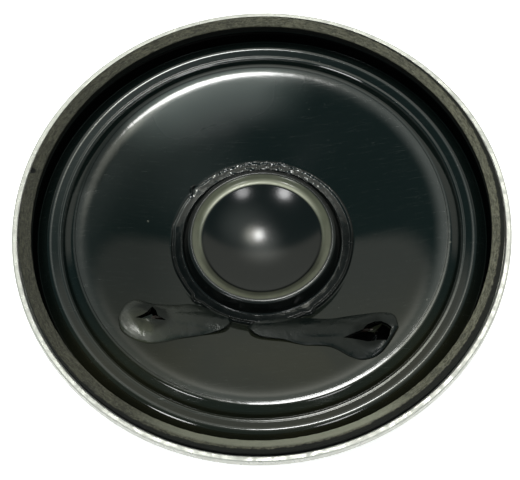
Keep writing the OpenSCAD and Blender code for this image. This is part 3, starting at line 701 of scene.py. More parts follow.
class Finishes:
    """Every finish of the speaker, each built once when the set is made."""

    def __init__(self, datum: Datum) -> None:
        """Prepares the shared effects.

        Args:
            datum: sizes for finishes that change with the radius.
        """
        self.datum = datum
        self.effects = Effects()
        self.film = self.make_film()
        self.cap = self.make_cap()
        self.bead = self.make_glue("bead_glue", 0.07, 0.01)
        self.tail = self.make_tail()
        self.gasket = self.make_gasket()
        self.basket = self.make_steel("basket_steel", (0.52, 0.51, 0.47), 0.36, 0.3, 0.5, 22)
        self.plate = self.make_steel("plate_steel", (0.6, 0.6, 0.585), 0.3, 0.35)
        self.rivet = self.make_steel("rivet_steel", (0.7, 0.7, 0.68), 0.28, 0.6)
        self.ferrite = self.make_ferrite()
        self.amber = self.make_amber()
        self.felt = self.make_felt()
        self.laminate = self.make_laminate()
        self.tinned = self.make_steel("tinned_brass", (0.82, 0.78, 0.66), 0.22, 0.4)
        self.solder = self.make_steel("solder_metal", (0.72, 0.73, 0.74), 0.18, 0.3)
        self.tinsel = self.make_tinsel()
        self.paper = self.make_paper()
        self.winding = self.make_winding()
        self.lead = self.make_lead()

    def make_film(self) -> bpy.types.Material:
        """Glossy black film with fine scratches and dust, a painted sheen on its lower half, a painted glow on its far
        side and painted shade on its upright walls.
        """
        f = Finish("black_film", self.effects, IOR=1.5)
        patches = f.mottle(0.12, 1.2)
        marks = f.scratches(0.6, 1.0)
        dust = f.specks(0.7, 0.2)
        depth = f.sheet.add("ShaderNodeSeparateXYZ", {0: f.point}).outputs[1]
        low = f.sheet.spread(depth, -3.0, -15.0, 0.0, 1.0)
        turned = f.sheet.math("ABSOLUTE", f.sheet.math("SUBTRACT", f.angle, math.radians(105)))
        sector = f.sheet.spread(turned, math.radians(12), math.radians(41), 1.0, 0.0)
        # Painted sheen: the lower half's colour is raised and warmed in patches, in place of the backdrop's reflection
        # there.
        lower_half_painted_sheen = f.sheet.math("MULTIPLY", low, f.sheet.spread(patches, 0.1, 0.9, 0.55, 1.0))
        # Painted glow: on the far side, in a sector round the main lamp's reflection, the film's colour is lightened
        # in place of the lamp's haze.
        far = f.sheet.math("MULTIPLY", f.sheet.spread(depth, 2.0, 12.0),
                           f.sheet.spread(f.radius, 12.0, 17.6))
        far = f.sheet.math("MULTIPLY", far, f.sheet.spread(f.radius, 18.4, 18.75, 1.0, 0.0))
        base = f.sheet.blend(lower_half_painted_sheen, (0.003, 0.0052, 0.0047), (0.0124, 0.0125, 0.0068))
        base = f.sheet.blend(f.sheet.math("MULTIPLY", far, sector), base, (0.05, 0.062, 0.058))
        base = f.sheet.blend(f.sheet.math("MULTIPLY", marks, 0.5), base, (0.05, 0.056, 0.05))
        base = f.sheet.blend(f.sheet.math("MULTIPLY", dust, 0.5), base, (0.12, 0.12, 0.1))
        # Painted shade: upright walls, such as those of the troughs, are coloured near black.
        f.colour(f.sheet.blend(f.walls(), base, (0.001, 0.001, 0.001)))
        band = f.sheet.math("MULTIPLY", f.sheet.spread(f.radius, 10.5, 15.5),
                            f.sheet.spread(f.radius, 17.2, 17.9, 1.0, 0.0))
        bloom = f.sheet.math("MULTIPLY", sector, band)
        rough = f.sheet.spread(patches, 0.2, 0.8, 0.055, 0.09)
        rough = f.sheet.math("ADD", rough, f.sheet.math("MULTIPLY", bloom, 0.3))
        f.roughness(f.sheet.math("ADD", rough, f.sheet.math("MULTIPLY", marks, 0.2)))
        trough = f.sheet.spread(f.radius, 21.7, 21.95, 0.5, 0.06)
        valley = f.sheet.math("MULTIPLY", f.sheet.spread(f.radius, 19.5, 19.8),
                              f.sheet.spread(f.radius, 20.0, 20.1, 1.0, 0.0))
        gloss = f.sheet.math("SUBTRACT", trough, f.sheet.math("MULTIPLY", valley, 0.34), clamp=True)
        left = f.sheet.add("ShaderNodeSeparateXYZ", {0: f.point}).outputs[0]
        dull = f.sheet.math("MULTIPLY", f.sheet.spread(left, -5.0, -13.0), 0.4)
        corner = f.sheet.math("MULTIPLY", f.sheet.spread(left, -11.0, -14.0), f.sheet.spread(depth, 3.0, 7.0))
        corner = f.sheet.math("MULTIPLY", corner, f.sheet.spread(f.radius, 16.6, 17.4, 0.0, 0.66))
        dull = f.sheet.math("MULTIPLY", f.sheet.math("MAXIMUM", dull, corner),
                            f.sheet.spread(f.radius, 18.9, 19.3, 1.0, 0.0))
        gloss = f.sheet.math("MULTIPLY", gloss, f.sheet.math("SUBTRACT", 1.0, dull))
        f.sheet.tree.links.new(gloss, f.shader.inputs["Specular IOR Level"])
        f.relief([(f.mottle(0.3, 1.0), 0.006), (f.grain(7.0), 0.001)])
        return f.material

    def make_cap(self) -> bpy.types.Material:
        """The same film, duller, and whitened over the ring where it was stretched, with a painted highlight on the
        ring's far inner edge and painted shade on its near inner part.
        """
        f = Finish("cap_film", self.effects, IOR=1.5)
        inner, outer = 6.0, 6.98
        rise = f.sheet.spread(f.radius, inner, inner + 0.22)
        fall = f.sheet.spread(f.radius, outer - 0.1, outer + 0.15, 1.0, 0.0)
        ring = f.sheet.math("MULTIPLY", rise, fall)
        patches = f.mottle(0.6, 1.0)
        pale = f.sheet.blend(patches, (0.072, 0.073, 0.05), (0.104, 0.106, 0.074))
        side = f.sheet.add("ShaderNodeSeparateXYZ", {0: f.point}).outputs[1]
        # Painted highlight: on the far side the ring's inner edge is coloured near white.
        white = f.sheet.math("MULTIPLY", f.sheet.spread(side, 1.0, 6.0),
                             f.sheet.spread(f.radius, 6.1, 6.75, 0.85, 0.0))
        pale = f.sheet.blend(white, pale, (0.48, 0.47, 0.36))
        # Painted shade: on the near side the ring's inner part keeps only part of its whitening, so it is darker.
        plain = f.sheet.math("MULTIPLY", f.sheet.spread(side, -4.0, 1.0, 1.0, 0.0),
                             f.sheet.spread(f.radius, 6.2, 6.9, 1.0, 0.0))
        ring = f.sheet.math("MULTIPLY", ring, f.sheet.spread(plain, 0.0, 1.0, 1.0, 0.35))
        f.colour(f.sheet.blend(ring, (0.003, 0.0036, 0.0034), pale))
        gloss = f.sheet.spread(f.radius, inner - 0.25, inner, 0.0, 0.9)
        crest = f.sheet.math("MULTIPLY", f.sheet.spread(f.radius, 6.9, 7.15), f.sheet.spread(side, -1.0, 4.0))
        dull = f.sheet.math("MAXIMUM", f.sheet.math("MULTIPLY", plain, gloss), f.sheet.math("MULTIPLY", crest, 0.5))
        f.sheet.tree.links.new(f.sheet.math("SUBTRACT", 0.5, f.sheet.math("MULTIPLY", dull, 0.5)),
                               f.shader.inputs["Specular IOR Level"])
        grain = f.grain(14.0)
        f.roughness(f.sheet.spread(grain, 0.2, 0.8, 0.15, 0.19))
        f.relief([(grain, 0.0015)])
        return f.material

    def make_glue(self, name: str, rough: float, depth: float) -> bpy.types.Material:
        """Glossy black contact glue with small wrinkles."""
        f = Finish(name, self.effects, IOR=1.5)
        patches = f.mottle(0.9, 1.0)
        f.colour(f.sheet.blend(patches, (0.002, 0.0026, 0.0026), (0.0055, 0.006, 0.0058)))
        f.roughness(f.sheet.spread(patches, 0.2, 0.8, rough * 0.7, rough * 1.3))
        side = f.sheet.add("ShaderNodeSeparateXYZ", {0: f.point}).outputs[1]
        f.sheet.tree.links.new(f.sheet.spread(side, -1.0, 6.0, 0.16, 0.8), f.shader.inputs["Specular IOR Level"])
        f.relief([(f.mottle(1.6, 1.0), depth), (f.grain(6.0), depth * 0.15)])
        return f.material

    def make_tail(self) -> bpy.types.Material:
        """The black glue over the leads, smooth and a little dusty, with a painted highlight on the left mound and
        painted shade round and inside the slits.
        """
        f = Finish("lead_glue_black", self.effects, IOR=1.5)
        patches = f.mottle(0.5, 1.3)
        dust = f.specks(1.6, 0.1)
        across = f.sheet.add("ShaderNodeSeparateXYZ", {0: f.point}).outputs[0]
        base = f.sheet.blend(f.sheet.spread(across, -10.0, -3.0), (0.012, 0.0138, 0.0105), (0.0034, 0.0052, 0.0048))
        # Painted highlight: a soft lighter patch on the lower lobe of the left mound.
        lower_lobe_painted_highlight = f.sheet.add("ShaderNodeVectorMath", {0: f.point, 1: (-12.4, -10.4, 14.3)}, operation="DISTANCE")
        lower_lobe_painted_highlight = f.sheet.spread(lower_lobe_painted_highlight.outputs["Value"], 0.8, 3.2, 1.0, 0.0)
        base = f.sheet.blend(lower_lobe_painted_highlight, base, (0.05, 0.052, 0.031))
        base = f.sheet.blend(f.sheet.math("MULTIPLY", patches, 0.75), base, (0.006, 0.0075, 0.006))
        base = f.sheet.blend(f.sheet.math("MULTIPLY", dust, 0.4), base, (0.08, 0.08, 0.07))
        cuts = None
        slit_painted_shade = None
        level = f.sheet.add("ShaderNodeVectorMath", {0: f.point, 1: (1, 1, 0)}, operation="MULTIPLY").outputs[0]
        for x, y in ((-11.4, -8.3), (10.1, -11.9)):
            away = f.sheet.add("ShaderNodeVectorMath", {0: f.point, 1: (x, y, 12)}, operation="DISTANCE")
            hole = f.sheet.spread(away.outputs["Value"], 3.6, 4.4, 1.0, 0.0)
            cuts = hole if cuts is None else f.sheet.math("MAXIMUM", cuts, hole)
            round_it = f.sheet.add("ShaderNodeVectorMath", {0: level, 1: (x, y, 0)}, operation="DISTANCE")
            ring = f.sheet.spread(round_it.outputs["Value"], 1.2, 2.5, 1.0, 0.0)
            slit_painted_shade = ring if slit_painted_shade is None else f.sheet.math("MAXIMUM", slit_painted_shade, ring)
        # Painted shade: the glue round each slit is darkened in patches and made less glossy.
        slit_painted_shade = f.sheet.math("MULTIPLY", slit_painted_shade, f.sheet.spread(patches, 0.1, 0.7, 0.55, 1.0))
        base = f.sheet.blend(f.sheet.math("MULTIPLY", slit_painted_shade, 0.8), base, (0.003, 0.004, 0.0035))
        # Painted shade: the walls of the slit holes are coloured near black.
        f.colour(f.sheet.blend(f.sheet.math("MULTIPLY", cuts, f.walls()), base, (0.001, 0.001, 0.001)))
        f.roughness(f.sheet.spread(patches, 0.2, 0.8, 0.2, 0.42))
        gloss = f.sheet.spread(across, -11.0, -3.0, 0.5, 0.3)
        gloss = f.sheet.math("MULTIPLY", gloss, f.sheet.spread(slit_painted_shade, 0.0, 1.0, 1.0, 0.45))
        f.sheet.tree.links.new(gloss, f.shader.inputs["Specular IOR Level"])
        f.relief([(f.mottle(0.7, 1.0), 0.05), (f.grain(3.0), 0.004)])
        return f.material

    def make_gasket(self) -> bpy.types.Material:
        """Brown-grey fibre board with a black, ragged outer edge, painted shade on its walls, painted light on its
        near side and painted light growing from left to right.
        """
        f = Finish("fibre_board", self.effects, IOR=1.45)
        f.shader.inputs["Specular IOR Level"].default_value = 0.25
        stretched = f.sheet.add("ShaderNodeMapping", {"Vector": f.rolled, "Scale": (6.0, 30.0, 6.0)}).outputs[0]
        fibres = f.sheet.noise(stretched, 1.0, 6, 0.65, 0.8)
        patches = f.mottle(0.4, 1.3)
        flecks = f.sheet.spread(f.sheet.noise(f.point, 5.0, 4, 0.7), 0.52, 0.64)
        base = f.sheet.blend(f.sheet.spread(fibres, 0.34, 0.66), (0.022, 0.021, 0.014), (0.11, 0.104, 0.074))
        base = f.sheet.blend(f.sheet.math("MULTIPLY", patches, 0.5), base, (0.036, 0.036, 0.028))
        base = f.sheet.blend(f.sheet.math("MULTIPLY", flecks, 0.4), base, (0.15, 0.145, 0.12))
        split = f.sheet.add("ShaderNodeSeparateXYZ", {0: f.point})
        # Painted light: on the near side the inner part of the top face is lightened.
        near = f.sheet.spread(split.outputs[1], -18.5, -22.0, 0.0, 1.0)
        within = f.sheet.spread(f.radius, 23.5, 23.8, 1.0, 0.0)
        near_side_painted_light = f.sheet.math("MULTIPLY", f.sheet.math("MULTIPLY", near, within), 0.7)
        base = f.sheet.blend(near_side_painted_light, base, (0.19, 0.19, 0.145))
        off = f.sheet.add("ShaderNodeVectorMath", {0: f.point, 1: (0.2, -0.15, 0)}, operation="ADD").outputs[0]
        flat = f.sheet.add("ShaderNodeVectorMath", {0: off, 1: (1, 1, 0)}, operation="MULTIPLY").outputs[0]
        away = f.sheet.add("ShaderNodeVectorMath", {0: flat}, operation="LENGTH").outputs["Value"]
        ragged = f.sheet.math("MULTIPLY", f.sheet.noise(f.point, 1.6, 5, 0.7), 0.5)
        edge = self.datum.gasket_r / MM
        outer = f.sheet.spread(f.sheet.math("ADD", away, ragged), edge - 0.06, edge + 0.08)
        # Painted shade: the surfaces below the top face, the walls, are coloured near black.
        wall = f.sheet.spread(f.height, self.datum.gasket_top_z / MM - 0.2, self.datum.gasket_top_z / MM - 0.1,
                              1.0, 0.0)
        # Painted light: the board's colour is darkened towards the left and lightened towards the right.
        across = f.sheet.spread(split.outputs[0], -22.0, 22.0, smooth=False)
        left_to_right_painted_light = f.sheet.blend(across, (0.62, 0.62, 0.62), (1.45, 1.45, 1.45))
        base = f.sheet.blend(1.0, base, left_to_right_painted_light, "MULTIPLY")
        black = f.sheet.math("MAXIMUM", f.sheet.math("MULTIPLY", outer, 0.93), wall)
        f.colour(f.sheet.blend(black, base, (0.004, 0.0045, 0.004)))
        f.roughness(f.sheet.spread(fibres, 0.2, 0.8, 0.6, 0.9))
        f.relief([(fibres, 0.06), (f.grain(10.0), 0.02)])
        return f.material

    def make_steel(self, name: str, colour: Colour, rough: float, wear: float,
                   bright: float = 1.0, painted_shade_r: float = 0) -> bpy.types.Material:
        """Plated steel, drawn round the axis, with stains and scuffs, and painted shade on its front face within a
        radius.

        Args:
            name: name of the material.
            colour: colour of the plating.
            rough: its roughness.
            wear: share of stains and scuffs.
            bright: metallic share of the surface, lower for dull plating.
            painted_shade_r: radius within which the front face is coloured black as painted shade under the film, in
                millimetres.

        Returns:
            The material.
        """
        f = Finish(name, self.effects, Metallic=bright)
        drawn = f.sheet.add("ShaderNodeMapping", {"Vector": f.rolled, "Scale": (9.0, 1.6, 9.0)}).outputs[0]
        lines = f.sheet.noise(drawn, 1.0, 5, 0.6)
        stains = f.mottle(1.3, 1.3)
        marks = f.scratches(0.8, 2.0)
        dark = tuple(c * 0.62 for c in colour)
        base = f.sheet.blend(f.sheet.math("MULTIPLY", stains, wear * 0.6), colour, dark)
        base = f.sheet.blend(f.sheet.math("MULTIPLY", marks, 0.35), base, (0.9, 0.89, 0.86))
        # Painted shade: the front face under the film is coloured near black.
        if painted_shade_r:
            inside = f.sheet.math("MULTIPLY", f.sheet.spread(f.radius, painted_shade_r - 0.5, painted_shade_r, 1.0, 0.0),
                                  f.sheet.spread(f.height, 10.5, 10.65))
            base = f.sheet.blend(inside, base, (0.003, 0.003, 0.003))
        f.colour(base)
        spread = f.sheet.spread(f.sheet.math("ADD", f.sheet.math("MULTIPLY", lines, 0.5),
                                f.sheet.math("MULTIPLY", stains, 0.5)), 0.25, 0.75, rough * 0.7, rough * 1.5)
        f.roughness(spread)
        f.relief([(lines, 0.006), (f.grain(5.0), 0.004)])
        return f.material

    def make_ferrite(self) -> bpy.types.Material:
        """Ground dark ferrite with a fine grain, and pits darkened as painted shade."""
        f = Finish("ferrite_ceramic", self.effects, IOR=1.6)
        patches = f.mottle(0.35, 1.3)
        pits = f.sheet.spread(f.sheet.noise(f.point, 3.2, 5, 0.7), 0.3, 0.42, 1.0, 0.0)
        base = f.sheet.blend(patches, (0.014, 0.014, 0.015), (0.032, 0.031, 0.031))
        # Painted shade: the pits are coloured darker.
        f.colour(f.sheet.blend(f.sheet.math("MULTIPLY", pits, 0.6), base, (0.006, 0.006, 0.006)))
        f.roughness(f.sheet.spread(patches, 0.2, 0.8, 0.42, 0.6))
        f.relief([(f.sheet.math("SUBTRACT", 1.0, pits), 0.04), (f.grain(9.0), 0.01)])
        return f.material

    def make_amber(self) -> bpy.types.Material:
        """Cured amber glue."""
        f = Finish("amber_glue", self.effects, IOR=1.5)
        patches = f.mottle(0.8, 1.0)
        f.colour(f.sheet.blend(patches, (0.16, 0.1, 0.03), (0.33, 0.22, 0.07)))
        f.roughness(f.sheet.spread(patches, 0.2, 0.8, 0.2, 0.4))
        f.relief([(patches, 0.03)])
        return f.material

    def make_felt(self) -> bpy.types.Material:
        """Black felt."""
        f = Finish("black_felt", self.effects, Sheen_Weight=0.4, Sheen_Roughness=0.6)
        hairs = f.sheet.noise(f.point, 9.0, 8, 0.75, 1.5)
        f.colour(f.sheet.blend(f.sheet.spread(hairs, 0.3, 0.7), (0.008, 0.008, 0.008), (0.035, 0.035, 0.036)))
        f.roughness(f.sheet.spread(hairs, 0.2, 0.8, 0.85, 1.0))
        f.relief([(hairs, 0.12)])
        return f.material

    def make_laminate(self) -> bpy.types.Material:
        """Brown paper laminate."""
        f = Finish("paper_laminate", self.effects, IOR=1.5)
        across = f.sheet.add("ShaderNodeMapping", {"Vector": f.point, "Scale": (1.2, 6.0, 14.0)}).outputs[0]
        layers = f.sheet.noise(across, 1.0, 5, 0.6)
        patches = f.mottle(0.5, 1.0)
        base = f.sheet.blend(f.sheet.spread(layers, 0.3, 0.7), (0.09, 0.036, 0.012), (0.2, 0.092, 0.035))
        f.colour(f.sheet.blend(f.sheet.math("MULTIPLY", patches, 0.4), base, (0.07, 0.03, 0.012)))
        f.roughness(f.sheet.spread(patches, 0.2, 0.8, 0.35, 0.55))
        f.relief([(layers, 0.01)])
        return f.material

    def make_tinsel(self) -> bpy.types.Material:
        """Copper tinsel, tarnished between its strands, and coloured black as painted shade where it runs up under the
        cone.
        """
        f = Finish("copper_tinsel", self.effects, Metallic=1.0)
        patches = f.mottle(1.4, 1.4)
        foil = f.sheet.noise(f.point, 9.0, 3)
        base = f.sheet.blend(patches, (0.26, 0.12, 0.06), (0.5, 0.27, 0.16))
        base = f.sheet.blend(f.sheet.spread(foil, 0.35, 0.5, 0.6, 0.0), base, (0.1, 0.04, 0.02))
        # Painted shade: above 10.6 mm the tinsel is coloured black and not metallic, where it lies under the cone.
        f.colour(f.sheet.blend(f.sheet.spread(f.height, 10.6, 11.1), base, (0.002, 0.002, 0.002)))
        f.metallic(f.sheet.spread(f.height, 10.6, 11.1, 1.0, 0.0))
        f.roughness(f.sheet.spread(foil, 0.2, 0.8, 0.45, 0.22))
        f.relief([(foil, 0.03)])
        return f.material

    def make_paper(self) -> bpy.types.Material:
        """Brown coil paper."""
        f = Finish("coil_paper", self.effects)
        fibres = f.sheet.noise(f.point, 4.0, 6, 0.7)
        f.colour(f.sheet.blend(f.sheet.spread(fibres, 0.3, 0.7), (0.2, 0.11, 0.05), (0.34, 0.2, 0.1)))
        f.roughness(f.sheet.spread(fibres, 0.2, 0.8, 0.6, 0.8))
        f.relief([(fibres, 0.01)])
        return f.material

    def make_winding(self) -> bpy.types.Material:
        """Layers of enamelled copper wire, with painted shade in the grooves between turns."""
        f = Finish("enamelled_copper", self.effects, Metallic=0.9, Coat_Weight=0.5, Coat_Roughness=0.1)
        pitch = 0.12
        turns = f.sheet.math("FRACT", f.sheet.math("DIVIDE", f.height, pitch))
        crown = f.sheet.math("MULTIPLY", f.sheet.math("SUBTRACT", 1.0, turns), f.sheet.math("MULTIPLY", turns, 4.0))
        patches = f.mottle(0.7, 1.0)
        base = f.sheet.blend(patches, (0.42, 0.13, 0.05), (0.62, 0.24, 0.1))
        # Painted shade: the grooves between turns are coloured darker.
        f.colour(f.sheet.blend(f.sheet.spread(crown, 0.0, 0.5, 0.7, 0.0), base, (0.06, 0.015, 0.005)))
        f.roughness(f.sheet.spread(patches, 0.2, 0.8, 0.25, 0.4))
        f.relief([(crown, 0.05)])
        return f.material

    def make_lead(self) -> bpy.types.Material:
        """Lead wire in dark enamel."""
        f = Finish("enamelled_lead", self.effects, Metallic=0.6, Coat_Weight=0.4)
        patches = f.mottle(1.5, 1.0)
        f.colour(f.sheet.blend(patches, (0.008, 0.005, 0.004), (0.02, 0.011, 0.008)))
        f.roughness(f.sheet.spread(patches, 0.2, 0.8, 0.25, 0.4))
        f.relief([(patches, 0.01)])
        return f.material


# The pieces


@dataclass
class Slit:
    """One opening through the cone and the glue over it.

    Attributes:
        outline: its corners as seen from the front.
        flap: the corners of the flap that stands in it, the tip last.
        flap_lift: height of the flap's tip over the cone.
    """

    outline: tuple[Flat, ...]
    flap: tuple[Flat, ...]
    flap_lift: float


LEFT_SLIT = Slit(
    outline=((-12.85, -8.75), (-11.75, -8.0), (-11.3, -7.25), (-10.95, -7.75), (-10.75, -8.45), (-10.0, -8.9)),
    flap=((-12.9, -8.85), (-11.0, -8.95), (-11.35, -8.15)),
    flap_lift=0.25,
)
RIGHT_SLIT = Slit(
    outline=((7.45, -12.1), (8.4, -11.8), (9.3, -11.6), (9.8, -11.05), (10.5, -10.8), (11.1, -10.9),
             (11.6, -11.3), (12.0, -11.75), (11.85, -12.4), (11.5, -13.1), (10.7, -12.95), (9.7, -12.95),
             (8.5, -12.5)),
    flap=((9.5, -11.6), (11.3, -11.0), (10.35, -12.2)),
    flap_lift=0.45,
)


@dataclass
class Diaphragm:
    """The thermoformed film, from its rim under the gasket to the neck round the cap."""

    datum: Datum
    finishes: Finishes
    segments: int = 256
    outer_trough_w: float = 1.6 * MM
    outer_trough_depth: float = 0.95 * MM
    land_w: float = 1.15 * MM
    land_drop: float = 0.65 * MM
    land_fall: float = 0.27 * MM
    inner_trough_depth: float = 0.3 * MM
    outer_wall_run: float = 0.4 * MM
    inner_wall_run: float = 0.2 * MM
    sharp_bend: float = 0.15 * MM
    groove_bend: float = 0.06 * MM
    land_bend: float = 1.0 * MM
    ridge_h: float = 0.07 * MM
    ridge_w: float = 0.22 * MM
    ridge_bend: float = 0.3 * MM

    def surround_front(self) -> list[Flat]:
        """Front face of the film outside the shoulder, from its rim inwards."""
        d = self.datum
        edge = d.gasket_in_r
        land_r = edge - self.outer_trough_w
        land_in_r = land_r - self.land_w
        land_z = d.film_rim_z - self.land_drop
        inner_z = land_z - self.land_fall
        foot_z = inner_z + self.land_fall / self.land_w * self.ridge_w
        seam = 0.04 * MM
        return smooth_path([
            (d.gasket_r - 0.02 * MM, d.film_rim_z, 0),
            (edge, d.film_rim_z, self.sharp_bend),
            (edge - self.outer_wall_run, land_z - self.outer_trough_depth, self.groove_bend),
            (land_r + 0.16 * MM, land_z + 0.07 * MM, self.land_bend),
            (land_in_r + self.ridge_w, foot_z, self.sharp_bend),
            (land_in_r - 0.03 * MM, inner_z + self.ridge_h, self.ridge_bend),
            (land_in_r - self.inner_wall_run, land_z - self.inner_trough_depth, self.groove_bend),
            (d.shoulder_r + 1.1 * MM, d.shoulder_z - 0.4 * MM, 0.3 * MM),
            (d.shoulder_r + 0.33 * MM, d.shoulder_z, 0.7 * MM),
            (d.shoulder_r + seam / 2, d.shoulder_z, 0),
        ], 9)

    def cone_front(self) -> list[Flat]:
        """Front face of the film from the shoulder to the former."""
        d = self.datum
        steps = 48
        seam = 0.04 * MM
        path = [(d.shoulder_r - seam / 2, d.shoulder_z), (d.shoulder_r - 0.12 * MM, d.shoulder_z)]
        for i in range(1, steps + 1):
            r = d.shoulder_r - (d.shoulder_r - d.neck_r) * i / steps
            path.append((r, d.cone_z(r)))
        return path + [(d.neck_in_r, d.neck_z)]

    def shell(self, front: list[Flat]) -> bmesh.types.BMesh:
        """A closed shell of film behind a front face."""
        section = front + beside(front, self.datum.film)[::-1]
        return revolve(section, self.segments, Joining.CLOSED)

    def build_surround(self) -> bpy.types.Object:
        """Makes the film outside the shoulder; here it stays fixed, though the real film bends as the cone moves."""
        obj = make_piece("film_surround", self.shell(finer(self.surround_front(), 0.25 * MM)), self.finishes.film, 60)
        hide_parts("diaphragm_surround")
        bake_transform(obj)
        return obj

    def build_cone(self) -> bpy.types.Object:
        """Makes the film inside the shoulder and cuts its two slits."""
        obj = make_piece("film_cone", self.shell(self.cone_front()), self.finishes.film, 60)
        low = self.datum.neck_z - 1 * MM
        high = self.datum.shoulder_z + 1 * MM
        cutters = [prism([(x * MM, y * MM) for x, y in slit.outline], low, high)
                   for slit in (LEFT_SLIT, RIGHT_SLIT)]
        cut(obj, cutters)
        obj.data.shade_smooth()
        obj.data.set_sharp_from_angle(angle=math.radians(60))
        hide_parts("diaphragm_cone")
        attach(obj, CONE_BODY)
        return obj

    def build(self) -> list[bpy.types.Object]:
        """Makes both pieces of film."""
        return [self.build_surround(), self.build_cone()]


@dataclass
class CentreCap:
    """The formed cap over the voice coil."""

    datum: Datum
    finishes: Finishes
    segments: int = 192
    foot_w: float = 0.35 * MM
    crest_r: float = 7.24 * MM
    channel_w: float = 1.2 * MM
    channel_drop: float = 0.437 * MM
    crest_bend: float = 0.7 * MM

    @staticmethod
    def bowl(radius: float) -> float:
        """Height of the dish over its middle at a radius, steeper towards its edge."""
        r = radius / MM
        return (0.0345 * r ** 2 + 0.00017 * r ** 4) * MM

    def front(self) -> list[Flat]:
        """Front face of the cap, from the foot to the axis."""
        d = self.datum
        wall_r = d.foot_r - self.foot_w
        foot_z = d.neck_z + d.film
        dish_r = self.crest_r - self.channel_w
        edge_z = d.crest_z - self.channel_drop
        wall = smooth_path([
            (d.foot_r, foot_z, 0), (wall_r, foot_z, 0.22 * MM),
            (self.crest_r + 0.22 * MM, d.crest_z - 0.05 * MM, 0.22 * MM),
            (self.crest_r - 0.2 * MM, d.crest_z + 0.01 * MM, self.crest_bend),
            (dish_r + 0.42 * MM, edge_z + 0.04 * MM, 1.6 * MM), (dish_r, edge_z, 0)], 10)
        dish = []
        dish_steps = 36
        for i in range(1, dish_steps + 1):
            r = dish_r * (1 - i / dish_steps)
            dish.append((r, edge_z - self.bowl(dish_r) + self.bowl(r)))
        return wall + dish

    def build(self) -> list[bpy.types.Object]:
        """Makes the cap."""
        front = self.front()
        rear = beside(front, self.datum.film)
        rear[-1] = (0, rear[-1][1])
        bm = revolve(front[::-1] + rear, self.segments, Joining.ON_AXIS)
        obj = make_piece("cap_shell", bm, self.finishes.cap, 60)
        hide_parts("centre_cap")
        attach(obj, CONE_BODY)
        return [obj]


@dataclass
class Bead:
    """The wrinkled bead of glue round the cap's foot."""

    datum: Datum
    finishes: Finishes
    segments: int = 480
    width: float = 0.86 * MM
    height: float = 0.34 * MM
    blobs: tuple[tuple[float, float, float], ...] = (
        (135, 0.38, 5), (165, 0.12, 6), (220, 0.3, 5), (298, 0.32, 5), (192, 0.06, 14), (20, 0.1, 40))

    def wobble(self, degrees: float) -> float:
        """How far the outer edge stands out at an angle, in metres."""
        total = 0.0
        for centre, out, width in self.blobs:
            off = (degrees - centre + 180) % 360 - 180
            total += out * bump(off, 0, width)
        a = math.radians(degrees)
        total += 0.035 * noise.noise(Vector((math.cos(a) * 4, math.sin(a) * 4, 3)))
        return total * MM

    def build(self) -> list[bpy.types.Object]:
        """Makes the bead."""
        d = self.datum
        inner = d.foot_r - 0.2 * MM
        low = d.neck_z - 0.03 * MM
        h = self.height
        w = self.width + 0.2 * MM
        front = smooth_path([
            (inner, low, 0), (inner, d.neck_z + h * 0.75, 0.05 * MM), (inner + w * 0.3, d.neck_z + h * 0.62, 0.1 * MM),
            (inner + w * 0.62, d.neck_z + h * 0.4, 0.2 * MM), (inner + w * 0.86, d.neck_z + h * 0.62, 0.12 * MM),
            (inner + w, d.neck_z + h * 0.2, 0.08 * MM), (inner + w, low, 0)], 6)
        bm = revolve(finer(front + [front[0]], 0.09 * MM)[:-1], self.segments, Joining.CLOSED)

        def crinkle(co: Vector) -> Vector:
            r = math.hypot(co.x, co.y)
            degrees = math.degrees(math.atan2(co.y, co.x)) % 360
            t = min(1.0, max(0.0, (r - inner) / w))
            far = bump((degrees - 82 + 180) % 360 - 180, 0, 62)
            lift = max(0.0, co.z - d.neck_z)
            swirl = noise.noise(Vector((co.x / MM * 1.1, co.y / MM * 1.1, 0)))
            fine = noise.noise(Vector((co.x / MM * 3.1, co.y / MM * 3.1, 7)))
            side = ease(t * 1.4) * (self.wobble(degrees) + far * 0.07 * MM * swirl)
            out = r + side
            drop = bump((degrees - 137 + 180) % 360 - 180, 0, 6) * bump(t, 0.85, 0.5)
            up = lift * (1 + 0.06 * swirl + far * (0.65 * fine + 0.35 * swirl) + 1.4 * drop)
            return Vector((co.x * out / r, co.y * out / r,
                           (co.z if lift == 0 else d.neck_z + up) + d.cone_z(out) - d.neck_z))

        move_verts(bm, crinkle)
        bmesh.ops.recalc_face_normals(bm, faces=bm.faces)
        obj = make_piece("glue_bead", bm, self.finishes.bead, 70)
        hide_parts("cap_glue_bead")
        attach(obj, CONE_BODY)
        return [obj]


